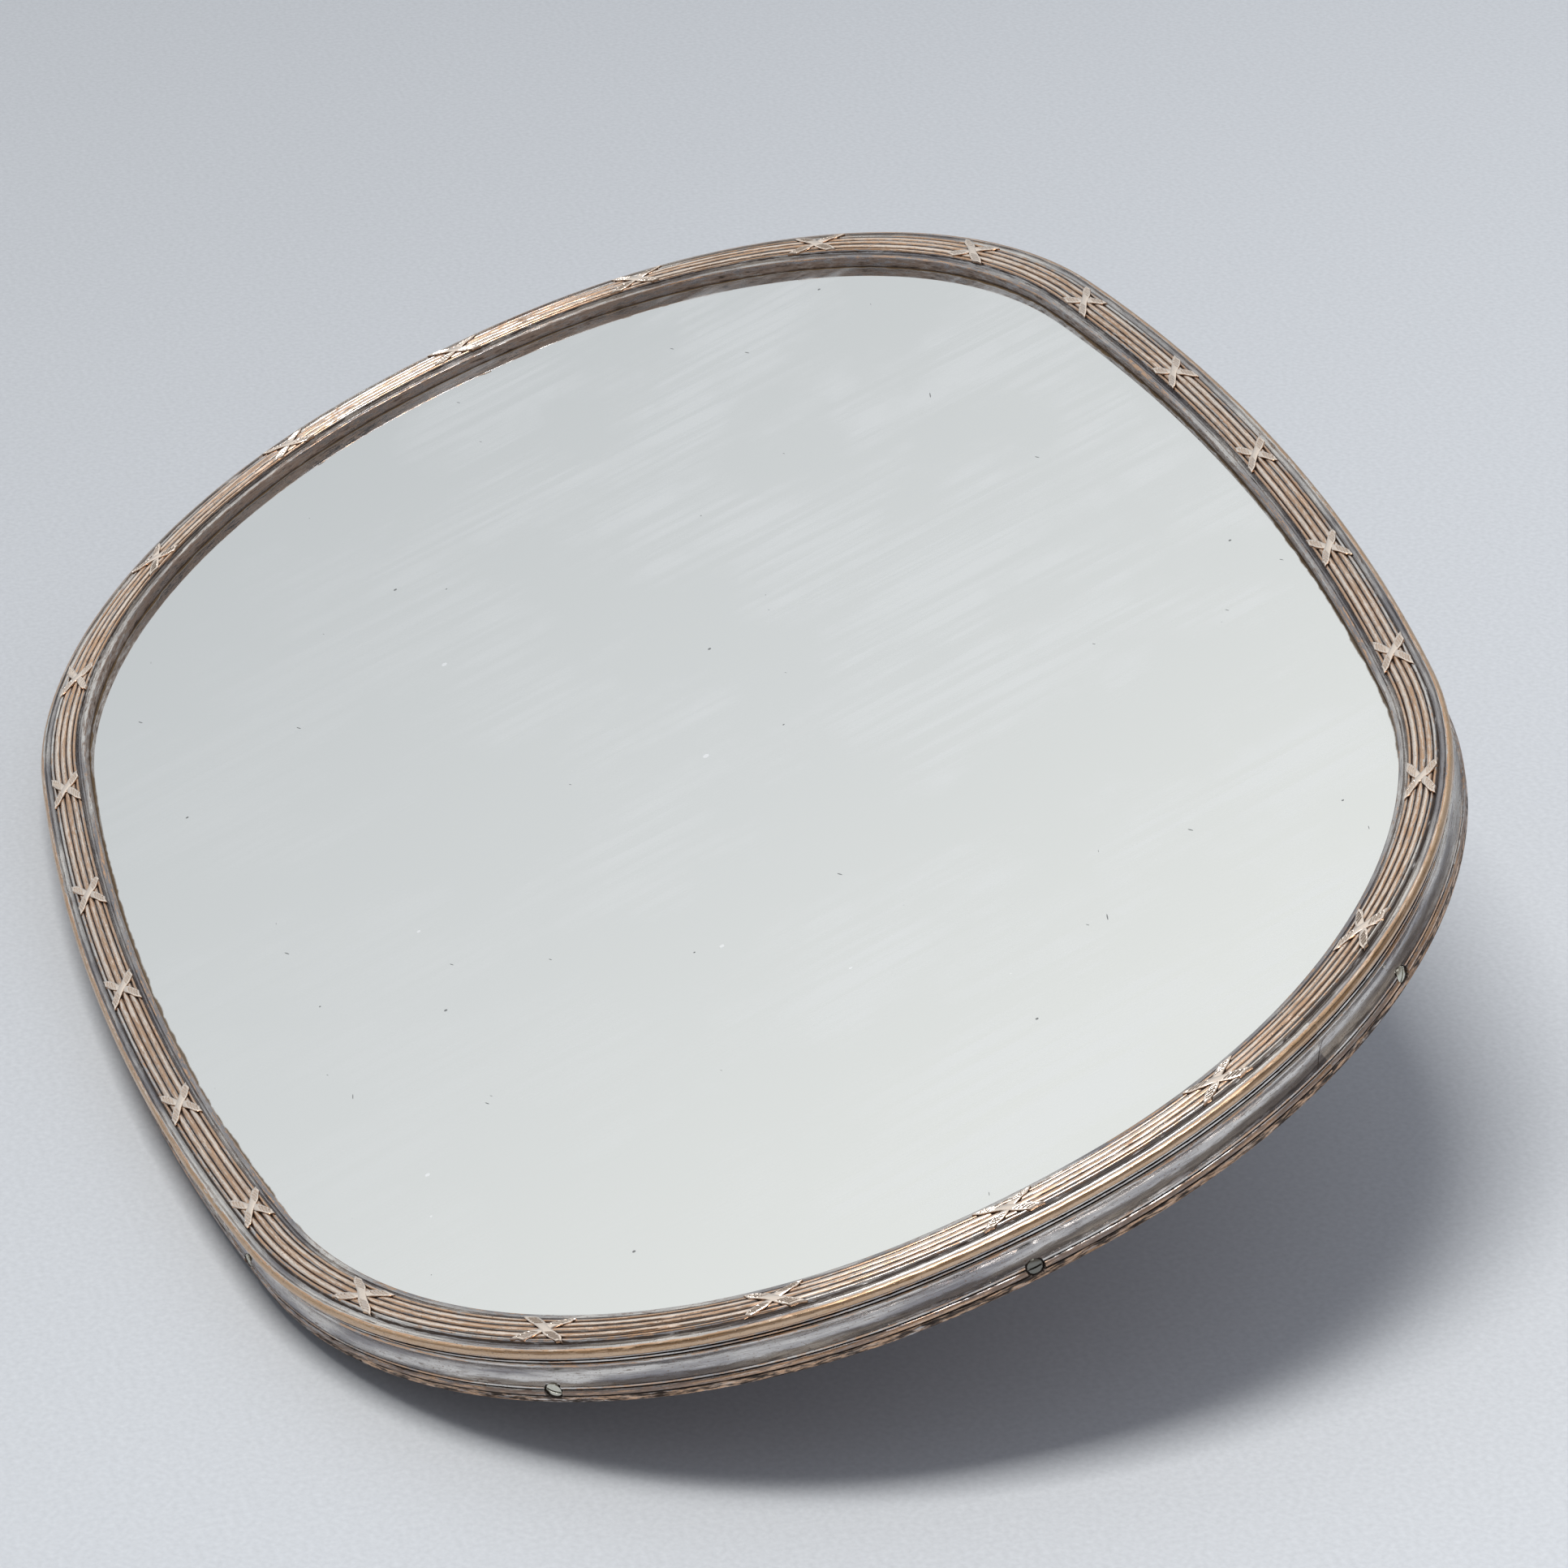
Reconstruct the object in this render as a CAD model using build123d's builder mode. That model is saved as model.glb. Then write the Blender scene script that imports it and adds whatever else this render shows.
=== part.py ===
"""Table mirror in a reeded and ribbon-tied metal frame, propped on a short easel strut.

Millimetres. The floor is Z = 0 and +X runs along the mirror. The glass leans back on one long side,
which touches the floor, and a hinged strut holds up the other, on the +Y side.
"""

import os
from math import acos, atan2, cos, degrees, hypot, pi, radians, sin, sqrt

from build123d import *

# ---------------------------------------------------------------- driving sizes

# Outline of the mirror, along the line where the ribbons cross
half_length = 250.0
half_width = 162.0
end_radius = 211.0
side_radius = 850.0
corner_ease = 15.0  # how much tighter the corners are than half the width

mirror_tilt = 20.3  # degrees between the glass and the floor
strut_opening = 80.0  # degrees between the open strut and the board

# Moulding: reeds on top, a lip inside, beads and a wide hollow down the outside
reed_width = 1.83
fine_reed_width = 1.05
reed_groove = 0.5
crown_radius = 16.5
lip_inset = 6.2
lip_width = 0.9
lip_drop = 1.3
lip_round = 0.35
inner_cove_depth = 0.45
inner_cove_drop = 0.45
reed_side_gap = 0.2
narrow_cove_depth = 0.6
big_bead_out = 5.48
big_bead_drop = 2.4
big_bead_radius = 1.62
big_bead_open = 96.0  # degrees up from level where the bead leaves the narrow cove
fillet_out = 6.05
fillet_in = 5.6
fillet_height = 0.45
thin_bead_radius = 0.62
hollow_top = 7.3
hollow_depth_out = 4.9
hollow_bottom = 12.2
hollow_edge_out = 6.5
hollow_edge_height = 0.5
base_groove_out = 5.75
base_bead_out = 6.15
base_bead_drop = 13.9
base_bead_radius = 0.85
base_out = 6.6
base_top = 15.1
moulding_depth = 16.6
wall_inside = 3.3
channel_width = 5.4
channel_depth = 1.8
channel_offset = -0.5

# Joints in the moulding
joint_pitches = 1.45  # ribbon spacings from the middle of the near end to the first joint
key_length = 36.0
key_gap = 0.1

# Ribbons and side screws
tie_count = 24
tie_half_width = 3.8
tie_waist = 3.0
tie_end_width = 4.7
tie_spread = 5.0  # how far an arm runs along the moulding from the crossing to its end
tie_notch = 0.8
tie_thickness = 0.45
tie_lift = 0.02
slipped_tie = 18  # this tie has slid along the reeds
slipped_tie_shift = -5.5
ties_per_screw = 2
side_screw_drop = 13.3
side_screw_seat = 5.9
side_screw_head = 1.95
side_screw_shank = 1.1
side_screw_length = 13.5
screw_hole_gap = 0.15
pilot_gap = 0.05

# Glass and board
glass_drop = 4.6
glass_thickness = 3.0
glass_edge = 2.5
packing_thickness = 0.6
board_thickness = 8.0
board_gap = 0.3
cloth_thickness = 0.8
cloth_edge = 1.0
window_gap = 3.0
packer_count = 8
packer_length = 20.0
packer_gap = 0.05

# Hinge
hinge_up = 85.0  # from the middle of the mirror to the hinge pin, up the slope
hinge_length = 46.0
knuckle_count = 5
knuckle_gap = 0.2
knuckle_radius = 3.0
pin_radius = 1.25
pin_gap = 0.05
leaf_thickness = 1.2
leaf_width = 18.0
leaf_gap = 0.3
leaf_screw_count = 3
leaf_screw_head = 2.0
leaf_screw_shank = 1.0
board_screw_length = 7.0
strut_screw_length = 4.2
leaf_screw_sink = 0.1

# Strut
strut_thickness = 4.6
strut_top_width = 84.0
strut_foot_width = 124.0
strut_gap = 0.3
ear_depth = 12.0
mortise_gap = 0.1
stop_gap = 0.1
cloth_inset = 3.0
foot_pad_thickness = 1.2

# Screws
side_screw_dome = 0.35
side_screw_rim = 0.4
leaf_screw_dome = 0.1
leaf_screw_rim = 0.05
screw_point = 1.6
screw_turn = 47.0  # degrees that each side screw's slot is turned from the last one's
slot_width = 0.5
slot_depth = 0.5

# ---------------------------------------------------------------- worked-out places

corner_radius = half_width - corner_ease
tilt = radians(mirror_tilt)
opening = radians(strut_opening)
rise = (half_width + base_out) * sin(tilt) + moulding_depth * cos(tilt)
front_reach = (half_width + big_bead_out) * cos(tilt) - big_bead_drop * sin(tilt) + big_bead_radius
back_reach = (half_width + base_out) * cos(tilt) + moulding_depth * sin(tilt)
mirror = Plane(
    origin=(0, (front_reach - back_reach) / 2, rise),
    x_dir=(1, 0, 0),
    z_dir=(0, -sin(tilt), cos(tilt)),
)
across = mirror.y_dir

reed_half_band = 1.5 * reed_width + fine_reed_width
board_top = glass_drop + glass_thickness + packing_thickness
board_bottom = board_top + board_thickness
board_edge = wall_inside - board_gap


def tangent_corner():
    """Centre of the corner arc that touches the end arc and the side arc, and where it starts and ends."""
    to_side = side_radius - corner_radius
    to_end = end_radius - corner_radius
    side_centre = half_width - side_radius
    end_centre = half_length - end_radius
    apart = hypot(end_centre, side_centre)
    along = (to_side**2 - to_end**2 + apart**2) / (2 * apart)
    lean = atan2(-side_centre, end_centre) - acos(along / to_side)
    centre = (to_side * cos(lean), side_centre + to_side * sin(lean))
    start = atan2(centre[1], centre[0] - end_centre)
    end = atan2(centre[1] - side_centre, centre[0])
    return centre, start, end


def outline_arcs():
    """The outline's arcs, counter-clockwise from the middle of the near end: centre, radius, start, sweep."""
    (corner_x, corner_y), start, end = tangent_corner()
    end_x = half_length - end_radius
    side_y = half_width - side_radius
    return [
        ((end_x, 0), end_radius, 0, start),
        ((corner_x, corner_y), corner_radius, start, end - start),
        ((0, side_y), side_radius, end, pi - 2 * end),
        ((-corner_x, corner_y), corner_radius, pi - end, end - start),
        ((-end_x, 0), end_radius, pi - start, 2 * start),
        ((-corner_x, -corner_y), corner_radius, pi + start, end - start),
        ((0, -side_y), side_radius, pi + end, pi - 2 * end),
        ((corner_x, -corner_y), corner_radius, 2 * pi - end, end - start),
        ((end_x, 0), end_radius, 2 * pi - start, start),
    ]


arcs = outline_arcs()
outline_length = sum(radius * sweep for _, radius, _, sweep in arcs)
tie_pitch = outline_length / tie_count


def stretch(first, last):
    """The arcs, or parts of arcs, between two lengths along the outline."""
    pieces = []
    run = 0.0
    for centre, radius, start, sweep in arcs + arcs:
        low = max(first, run)
        high = min(last, run + radius * sweep)
        if high - low > 1e-6:
            pieces.append((centre, radius, start + (low - run) / radius, (high - low) / radius))
        run += radius * sweep
    return pieces


def moulding_plane(length, drop=0.0, out=0.0):
    """A plane at a length along the outline: x along the moulding, y up from the glass, z outwards."""
    centre, radius, angle, _ = stretch(length % outline_length, length % outline_length + 1)[0]
    spot = (centre[0] + (radius + out) * cos(angle), centre[1] + (radius + out) * sin(angle), -drop)
    outward = mirror.x_dir * cos(angle) + across * sin(angle)
    along = across * cos(angle) - mirror.x_dir * sin(angle)
    return Plane(origin=mirror.from_local_coords(spot), x_dir=along, z_dir=outward)


def tie_length(number):
    """Where a tie sits along the outline, with the slipped one out of step."""
    return number * tie_pitch + (slipped_tie_shift if number == slipped_tie else 0.0)


# ---------------------------------------------------------------- shared profiles and tools


def on_crown(radius, out, depth=0.0):
    """A point under the round crown of the reeds, from its distance out along the crown and its depth."""
    angle = out / crown_radius
    return (radius + (crown_radius - depth) * sin(angle), (crown_radius - depth) * cos(angle) - crown_radius)


def reeds(radius):
    """Five half-round reeds, the outer two finer, side by side on the crown."""
    edge = -reed_half_band
    for width in (fine_reed_width, reed_width, reed_width, reed_width, fine_reed_width):
        ThreePointArc(
            on_crown(radius, edge, reed_groove),
            on_crown(radius, edge + width / 2),
            on_crown(radius, edge + width, reed_groove),
        )
        edge += width


def lip_and_cove(radius):
    """The inner wall above the glass, the rounded lip and the shallow cove up to the reeds."""
    wall = radius - lip_inset
    cove_start = wall + lip_round + lip_width
    cove_end = radius - reed_half_band - reed_side_gap
    cove_low = -lip_drop - inner_cove_drop
    Line((wall, -glass_drop), (wall, -lip_drop - lip_round))
    JernArc((wall, -lip_drop - lip_round), (0, 1), lip_round, -90)
    Line((wall + lip_round, -lip_drop), (cove_start, -lip_drop))
    ThreePointArc(
        (cove_start, -lip_drop),
        ((cove_start + cove_end) / 2, (cove_low - lip_drop) / 2 - inner_cove_depth),
        (cove_end, cove_low),
    )
    Line((cove_end, cove_low), on_crown(radius, -reed_half_band, reed_groove))


def outer_side(radius):
    """From the reeds outwards: narrow cove, big bead, fillet, thin bead, wide hollow, base bead, base."""
    reed_end = on_crown(radius, reed_half_band, reed_groove)
    cove_in = radius + reed_half_band + reed_side_gap
    bead_x = radius + big_bead_out
    bead_in = big_bead_radius * cos(radians(big_bead_open))
    bead_rise = big_bead_radius * sin(radians(big_bead_open))
    bead_start = (bead_x + bead_in, -big_bead_drop + bead_rise)
    bead_end = (bead_x - bead_in, -big_bead_drop - bead_rise)
    cove_low = reed_end[1] - reed_side_gap
    Line(reed_end, (cove_in, cove_low))
    cove_middle = ((cove_in + bead_start[0]) / 2, (cove_low + bead_start[1]) / 2 - narrow_cove_depth)
    ThreePointArc((cove_in, cove_low), cove_middle, bead_start)
    ThreePointArc(bead_start, (bead_x + big_bead_radius, -big_bead_drop), bead_end)

    shelf = bead_end[1]
    ridge_low = shelf - 3 * fillet_height
    thin_bead_top = ridge_low - fillet_height
    thin_bead_low = thin_bead_top - 2 * thin_bead_radius
    Polyline(
        bead_end,
        (radius + fillet_out, shelf),
        (radius + fillet_out, shelf - fillet_height),
        (radius + fillet_in, shelf - 2 * fillet_height),
        (radius + fillet_out, shelf - 2 * fillet_height),
        (radius + fillet_out, ridge_low),
        (radius + fillet_in, ridge_low),
        (radius + fillet_in, thin_bead_top),
    )
    ThreePointArc(
        (radius + fillet_in, thin_bead_top),
        (radius + fillet_in + thin_bead_radius, thin_bead_top - thin_bead_radius),
        (radius + fillet_in, thin_bead_low),
    )
    Line((radius + fillet_in, thin_bead_low), (radius + fillet_in, -hollow_top))
    ThreePointArc(
        (radius + fillet_in, -hollow_top),
        (radius + hollow_depth_out, -(hollow_top + hollow_bottom) / 2),
        (radius + hollow_edge_out - lip_round, -hollow_bottom),
    )

    base_bead_x = radius + base_bead_out
    groove = -base_bead_drop + base_bead_radius
    edge_low = -hollow_bottom - hollow_edge_height
    Polyline(
        (radius + hollow_edge_out - lip_round, -hollow_bottom),
        (radius + hollow_edge_out, -hollow_bottom),
        (radius + hollow_edge_out, edge_low),
        (radius + base_groove_out, edge_low),
        (radius + base_groove_out, groove),
        (base_bead_x, groove),
    )
    ThreePointArc(
        (base_bead_x, groove),
        (base_bead_x + base_bead_radius, -base_bead_drop),
        (base_bead_x, -base_bead_drop - base_bead_radius),
    )
    Polyline(
        (base_bead_x, -base_bead_drop - base_bead_radius),
        (radius + base_out, -base_top),
        (radius + base_out, -moulding_depth),
        (radius + wall_inside, -moulding_depth),
        (radius + wall_inside, -glass_drop),
    )


def moulding_section(radius):
    """Closed section of the moulding: x is the distance from the arc's centre, y the height."""
    channel_out = radius + channel_offset + channel_width / 2
    channel_in = radius + channel_offset - channel_width / 2
    with BuildLine() as profile:
        lip_and_cove(radius)
        reeds(radius)
        outer_side(radius)
        Polyline(
            (radius + wall_inside, -glass_drop),
            (channel_out, -glass_drop),
            (channel_out, -glass_drop + channel_depth),
            (channel_in, -glass_drop + channel_depth),
            (channel_in, -glass_drop),
            (radius - lip_inset, -glass_drop),
        )
    make_face(profile.edges())


def bar_section(radius, inside, outside, top, bottom):
    """A rectangular section between two distances out and two depths."""
    with Locations((radius + (inside + outside) / 2, -(top + bottom) / 2)):
        Rectangle(outside - inside, bottom - top)


def bend_along(first, last, section, *sizes):
    """Revolve a section round each arc of the outline between two lengths."""
    for centre, radius, start, sweep in stretch(first, last):
        middle = mirror.from_local_coords((*centre, 0))
        outward = mirror.x_dir * cos(start) + across * sin(start)
        with BuildSketch(Plane(origin=middle, x_dir=outward, z_dir=outward.cross(mirror.z_dir))) as cut:
            section(radius, *sizes)
        revolve(cut.sketch, axis=Axis(middle, mirror.z_dir), revolution_arc=degrees(sweep))


def cushion(out):
    """The mirror's outline moved outwards by a distance, as a face."""
    with BuildLine() as edge:
        for centre, radius, start, sweep in arcs:
            CenterArc(centre, radius + out, degrees(start), degrees(sweep))
    make_face(edge.edges())


def slotted_screw(head, shank, length, rim, dome):
    """A countersunk screw pointing down, with the top of its cone at the origin and a domed, slotted head."""
    ball = (head**2 + dome**2) / (2 * dome)
    with BuildPart() as screw:
        with BuildSketch(Plane.XZ):
            with BuildLine():
                dome_side = (head / 2, rim + dome - ball + sqrt(ball**2 - head**2 / 4))
                ThreePointArc((0, rim + dome), dome_side, (head, rim))
                Polyline(
                    (head, rim),
                    (head, 0),
                    (shank, shank - head),
                    (shank, screw_point - length),
                    (0, -length),
                    (0, rim + dome),
                )
            make_face()
        revolve(axis=Axis.Z)
        with Locations((0, 0, rim + dome)):
            Box(3 * head, slot_width, 2 * slot_depth, mode=Mode.SUBTRACT)
    return screw.part


# ---------------------------------------------------------------- frame

joint_near = joint_pitches * tie_pitch
joint_far = joint_near + outline_length / 2
screw_lengths = [number * ties_per_screw * tie_pitch for number in range(tie_count // ties_per_screw)]
screw_planes = [moulding_plane(length, side_screw_drop, side_screw_seat) for length in screw_lengths]


def screw_holes():
    """Countersunk clearance holes for the side screws through the moulding's wall."""
    with Locations(*[place.location for place in screw_planes]):
        CounterSinkHole(
            side_screw_shank + screw_hole_gap,
            side_screw_head + screw_hole_gap,
            depth=side_screw_seat,
            counter_sink_angle=90,
        )


with BuildPart() as frame_raised_half:
    bend_along(joint_near, joint_far, moulding_section)
    screw_holes()
frame_raised_half.part.label = "frame_raised_half"

with BuildPart() as frame_resting_half:
    bend_along(joint_far, joint_near + outline_length, moulding_section)
    screw_holes()
frame_resting_half.part.label = "frame_resting_half"


def joint_key(length):
    """A bar lying in the moulding's channel across a joint."""
    start = length - key_length / 2
    inside = channel_offset - channel_width / 2 + key_gap
    outside = channel_offset + channel_width / 2 - key_gap
    top = glass_drop - channel_depth + key_gap
    bend_along(start, start + key_length, bar_section, inside, outside, top, glass_drop - key_gap)


with BuildPart() as joint_key_near:
    joint_key(joint_near)
joint_key_near.part.label = "joint_key_near"

with BuildPart() as joint_key_far:
    joint_key(joint_far)
joint_key_far.part.label = "joint_key_far"


def ribbon_arm(lean):
    """One arm of a tie, from the inner edge of the reeds to the outer, with notched ends."""
    end = tie_end_width / 2
    points = [
        (-lean * tie_spread - end, -tie_half_width),
        (-lean * tie_spread, -tie_half_width + tie_notch),
        (-lean * tie_spread + end, -tie_half_width),
        (tie_waist / 2, 0),
        (lean * tie_spread + end, tie_half_width),
        (lean * tie_spread, tie_half_width - tie_notch),
        (lean * tie_spread - end, tie_half_width),
        (-tie_waist / 2, 0),
    ]
    with BuildLine() as edge:
        Polyline(*points, close=True)
    make_face(edge.edges())


with BuildPart() as ribbon_tie:
    with BuildSketch(Plane.XY.offset(-reed_half_band)):
        ribbon_arm(1)
        ribbon_arm(-1)
    extrude(amount=2 * reed_half_band)
    with BuildSketch(Plane.YZ):
        with Locations((0, -crown_radius)):
            Circle(crown_radius + tie_lift + tie_thickness)
            Circle(crown_radius + tie_lift, mode=Mode.SUBTRACT)
    extrude(amount=tie_spread + tie_end_width, both=True, mode=Mode.INTERSECT)


ribbon_ties = []
for number in range(tie_count):
    spot = moulding_plane(tie_length(number))
    with BuildPart() as placed_tie:
        with Locations(Plane(origin=spot.origin, x_dir=spot.x_dir, z_dir=mirror.z_dir).location):
            add(ribbon_tie.part)
    placed_tie.part.label = f"ribbon_tie_{number + 1:02d}"
    ribbon_ties.append(placed_tie)

side_screw = slotted_screw(
    side_screw_head, side_screw_shank, side_screw_length, side_screw_rim, side_screw_dome
)
side_screw_places = [
    place.location * Rotation(0, 0, number * screw_turn) for number, place in enumerate(screw_planes)
]
with BuildPart() as side_screws:
    with Locations(*side_screw_places):
        add(side_screw)
side_screws.part.label = "side_screws"

# ---------------------------------------------------------------- where the hinge and strut lie

pin_drop = board_bottom + knuckle_radius
pin_centre = mirror.from_local_coords((0, hinge_up, -pin_drop))
down_strut = across * -cos(opening) - mirror.z_dir * sin(opening)
strut_face = across * sin(opening) - mirror.z_dir * cos(opening)
knuckle_pitch = hinge_length / knuckle_count
board_hinge_plane = Plane(origin=pin_centre, x_dir=across, z_dir=(1, 0, 0))
strut_hinge_plane = Plane(origin=pin_centre, x_dir=down_strut * -1, z_dir=(-1, 0, 0))
strut_plane = Plane(origin=pin_centre, x_dir=(1, 0, 0), z_dir=strut_face)
plate_middle = knuckle_radius - leaf_thickness / 2
plate_start = knuckle_radius + leaf_gap


def leaf_screw_places(plane, facing):
    """Where a leaf's screws sit, with their heads on its outer face (1) or its inner one (-1)."""
    height = plate_middle + facing * (leaf_thickness / 2 - leaf_screw_sink)
    places = []
    for number in range(leaf_screw_count):
        along = (number - (leaf_screw_count - 1) / 2) * hinge_length / leaf_screw_count
        spot = plane.from_local_coords((-leaf_width / 2 - plate_start / 2, height, along))
        places.append(Plane(origin=spot, x_dir=plane.z_dir, z_dir=plane.y_dir * facing).location)
    return places


board_screw_places = leaf_screw_places(board_hinge_plane, -1)
strut_screw_places = leaf_screw_places(strut_hinge_plane, 1)

# ---------------------------------------------------------------- glass, packing, board and cloth

with BuildPart() as mirror_glass:
    with BuildSketch(mirror.offset(-glass_drop - glass_thickness)):
        cushion(glass_edge)
    extrude(amount=glass_thickness)
mirror_glass.part.label = "mirror_glass"

with BuildPart() as glass_packing:
    with BuildSketch(mirror.offset(-board_top)):
        cushion(glass_edge)
    extrude(amount=packing_thickness)
glass_packing.part.label = "glass_packing"

with BuildPart() as edge_packers:
    for number in range(packer_count):
        middle = (number + 0.5) * outline_length / packer_count
        bend_along(
            middle - packer_length / 2,
            middle + packer_length / 2,
            bar_section,
            glass_edge + packer_gap,
            wall_inside - packer_gap,
            glass_drop + packer_gap,
            board_top - packer_gap,
        )
edge_packers.part.label = "edge_packers"

with BuildPart() as back_board:
    with BuildSketch(mirror.offset(-board_bottom)):
        cushion(board_edge)
    extrude(amount=board_thickness)
    with Locations(*[place.location for place in screw_planes]):
        Hole(side_screw_shank + pilot_gap, depth=side_screw_length)
    with Locations(*board_screw_places):
        Hole(leaf_screw_shank + pilot_gap, depth=board_screw_length)
back_board.part.label = "back_board"

window_width = strut_top_width + 2 * window_gap
window_height = leaf_width + knuckle_radius + 2 * window_gap
window_up = hinge_up + (knuckle_radius - leaf_width) / 2
with BuildPart() as back_cloth:
    with BuildSketch(mirror.offset(-board_bottom - cloth_thickness)):
        cushion(cloth_edge)
        with Locations((0, window_up)):
            Rectangle(window_width, window_height, mode=Mode.SUBTRACT)
    extrude(amount=cloth_thickness)
back_cloth.part.label = "back_cloth"

# ---------------------------------------------------------------- hinge


def hinge_leaf(plane, first_knuckle, screw_places):
    """A leaf with every second knuckle, its plate level with the outside of the knuckles."""
    for number in range(first_knuckle, knuckle_count, 2):
        begin = number * knuckle_pitch - hinge_length / 2 + knuckle_gap / 2
        with BuildSketch(plane.offset(begin)) as knuckle:
            Circle(knuckle_radius)
            with Locations((-plate_start / 2, plate_middle)):
                Rectangle(plate_start, leaf_thickness)
        extrude(knuckle.sketch, amount=knuckle_pitch - knuckle_gap)
    with BuildSketch(plane.offset(-hinge_length / 2 + knuckle_gap / 2)) as plate:
        with Locations((-(plate_start + leaf_width) / 2, plate_middle)):
            Rectangle(leaf_width - plate_start, leaf_thickness)
    extrude(plate.sketch, amount=hinge_length - knuckle_gap)
    with BuildSketch(plane.offset(-hinge_length / 2)) as bore:
        Circle(pin_radius + pin_gap)
    extrude(bore.sketch, amount=hinge_length, mode=Mode.SUBTRACT)
    with Locations(*screw_places):
        CounterSinkHole(leaf_screw_shank + pilot_gap, leaf_screw_head + pilot_gap, 2 * leaf_thickness, 90)


with BuildPart() as hinge_board_leaf:
    hinge_leaf(board_hinge_plane, 0, board_screw_places)
hinge_board_leaf.part.label = "hinge_board_leaf"

with BuildPart() as hinge_strut_leaf:
    hinge_leaf(strut_hinge_plane, 1, strut_screw_places)
hinge_strut_leaf.part.label = "hinge_strut_leaf"

with BuildPart() as hinge_pin:
    with BuildSketch(board_hinge_plane.offset(-hinge_length / 2)):
        Circle(pin_radius)
    extrude(amount=hinge_length)
hinge_pin.part.label = "hinge_pin"

board_screw = slotted_screw(
    leaf_screw_head, leaf_screw_shank, board_screw_length, leaf_screw_rim, leaf_screw_dome
)
with BuildPart() as board_leaf_screws:
    with Locations(*board_screw_places):
        add(board_screw)
board_leaf_screws.part.label = "board_leaf_screws"

strut_screw = slotted_screw(
    leaf_screw_head, leaf_screw_shank, strut_screw_length, leaf_screw_rim, leaf_screw_dome
)
with BuildPart() as strut_leaf_screws:
    with Locations(*strut_screw_places):
        add(strut_screw)
strut_leaf_screws.part.label = "strut_leaf_screws"

# ---------------------------------------------------------------- strut

strut_lean = opening + tilt  # angle of the strut to the floor, past upright
strut_outer = knuckle_radius
strut_inner = knuckle_radius - strut_thickness
strut_middle = (strut_outer + strut_inner) / 2
strut_reach = (pin_centre.Z - strut_middle * cos(strut_lean) - foot_pad_thickness) / sin(strut_lean)
foot_y = pin_centre.Y + strut_middle * sin(strut_lean) - strut_reach * cos(strut_lean)


def strut_half_width(down):
    """Half the strut's width at a distance down from the pin: it widens to the foot."""
    share = (down - plate_start) / (strut_reach - plate_start)
    return (strut_top_width + (strut_foot_width - strut_top_width) * share) / 2


def strut_panel(top, bottom, inset):
    """The strut's outline between two distances down from the pin."""
    high = strut_half_width(top) - inset
    low = strut_half_width(bottom) - inset
    with BuildLine() as edge:
        Polyline((-high, top), (high, top), (low, bottom), (-low, bottom), close=True)
    make_face(edge.edges())


def on_strut(down, out):
    """A point in the hinge plane, from distances down the strut and out from the pin."""
    return (out * sin(opening) - down * cos(opening), -down * sin(opening) - out * cos(opening))


def strut_ear():
    """Section of the strut beside the hinge: its square heel stops against the board."""
    heel = knuckle_radius - stop_gap
    heel_out = (strut_outer + heel * cos(opening)) / sin(opening)
    shoulder = on_strut(-sqrt(heel**2 - strut_inner**2), strut_inner)
    turn = (pi / 2 + atan2(shoulder[1], shoulder[0])) / 2
    with BuildLine() as edge:
        ThreePointArc(shoulder, (heel * cos(turn), heel * sin(turn)), (0, heel))
        Polyline(
            (0, heel),
            (heel_out, heel),
            on_strut(ear_depth, strut_outer),
            on_strut(ear_depth, strut_inner),
            shoulder,
        )
    make_face(edge.edges())


ear_start = hinge_length / 2 + strut_gap
with BuildPart() as strut:
    with BuildSketch(strut_plane.offset(strut_inner)):
        strut_panel(plate_start, strut_reach + strut_thickness, 0)
    extrude(amount=strut_thickness)
    for begin in (-strut_top_width / 2, ear_start):
        with BuildSketch(board_hinge_plane.offset(begin)):
            strut_ear()
        extrude(amount=strut_top_width / 2 - ear_start)
    with BuildSketch(strut_plane.offset(strut_outer - leaf_thickness)):
        with Locations((0, leaf_width / 2)):
            Rectangle(hinge_length + 2 * mortise_gap, leaf_width + 2 * mortise_gap)
    extrude(amount=leaf_thickness, mode=Mode.SUBTRACT)
    with Locations(*strut_screw_places):
        Hole(leaf_screw_shank + pilot_gap, depth=strut_screw_length)
    split(bisect_by=Plane.XY.offset(foot_pad_thickness), keep=Keep.TOP)
strut.part.label = "strut"

with BuildPart() as strut_cloth:
    with BuildSketch(strut_plane.offset(strut_outer)):
        strut_panel(leaf_width + cloth_inset, strut_reach - cloth_inset, cloth_inset)
    extrude(amount=cloth_thickness)
strut_cloth.part.label = "strut_cloth"

with BuildPart() as strut_foot_pad:
    with BuildSketch(Plane.XY):
        with Locations((0, foot_y)):
            Rectangle(strut_foot_width, strut_thickness / sin(strut_lean))
    extrude(amount=foot_pad_thickness)
strut_foot_pad.part.label = "strut_foot_pad"

# ---------------------------------------------------------------- files

nodes = [
    frame_raised_half,
    frame_resting_half,
    joint_key_near,
    joint_key_far,
    *ribbon_ties,
    side_screws,
    mirror_glass,
    glass_packing,
    edge_packers,
    back_board,
    back_cloth,
    hinge_board_leaf,
    hinge_strut_leaf,
    hinge_pin,
    board_leaf_screws,
    strut_leaf_screws,
    strut,
    strut_cloth,
    strut_foot_pad,
]
os.makedirs("parts", exist_ok=True)
for node in nodes:
    export_step(node.part, f"parts/{node.part.label}.step")
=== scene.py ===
import math
import random

import bmesh
import bpy
from mathutils import Matrix, Vector, noise


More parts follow.
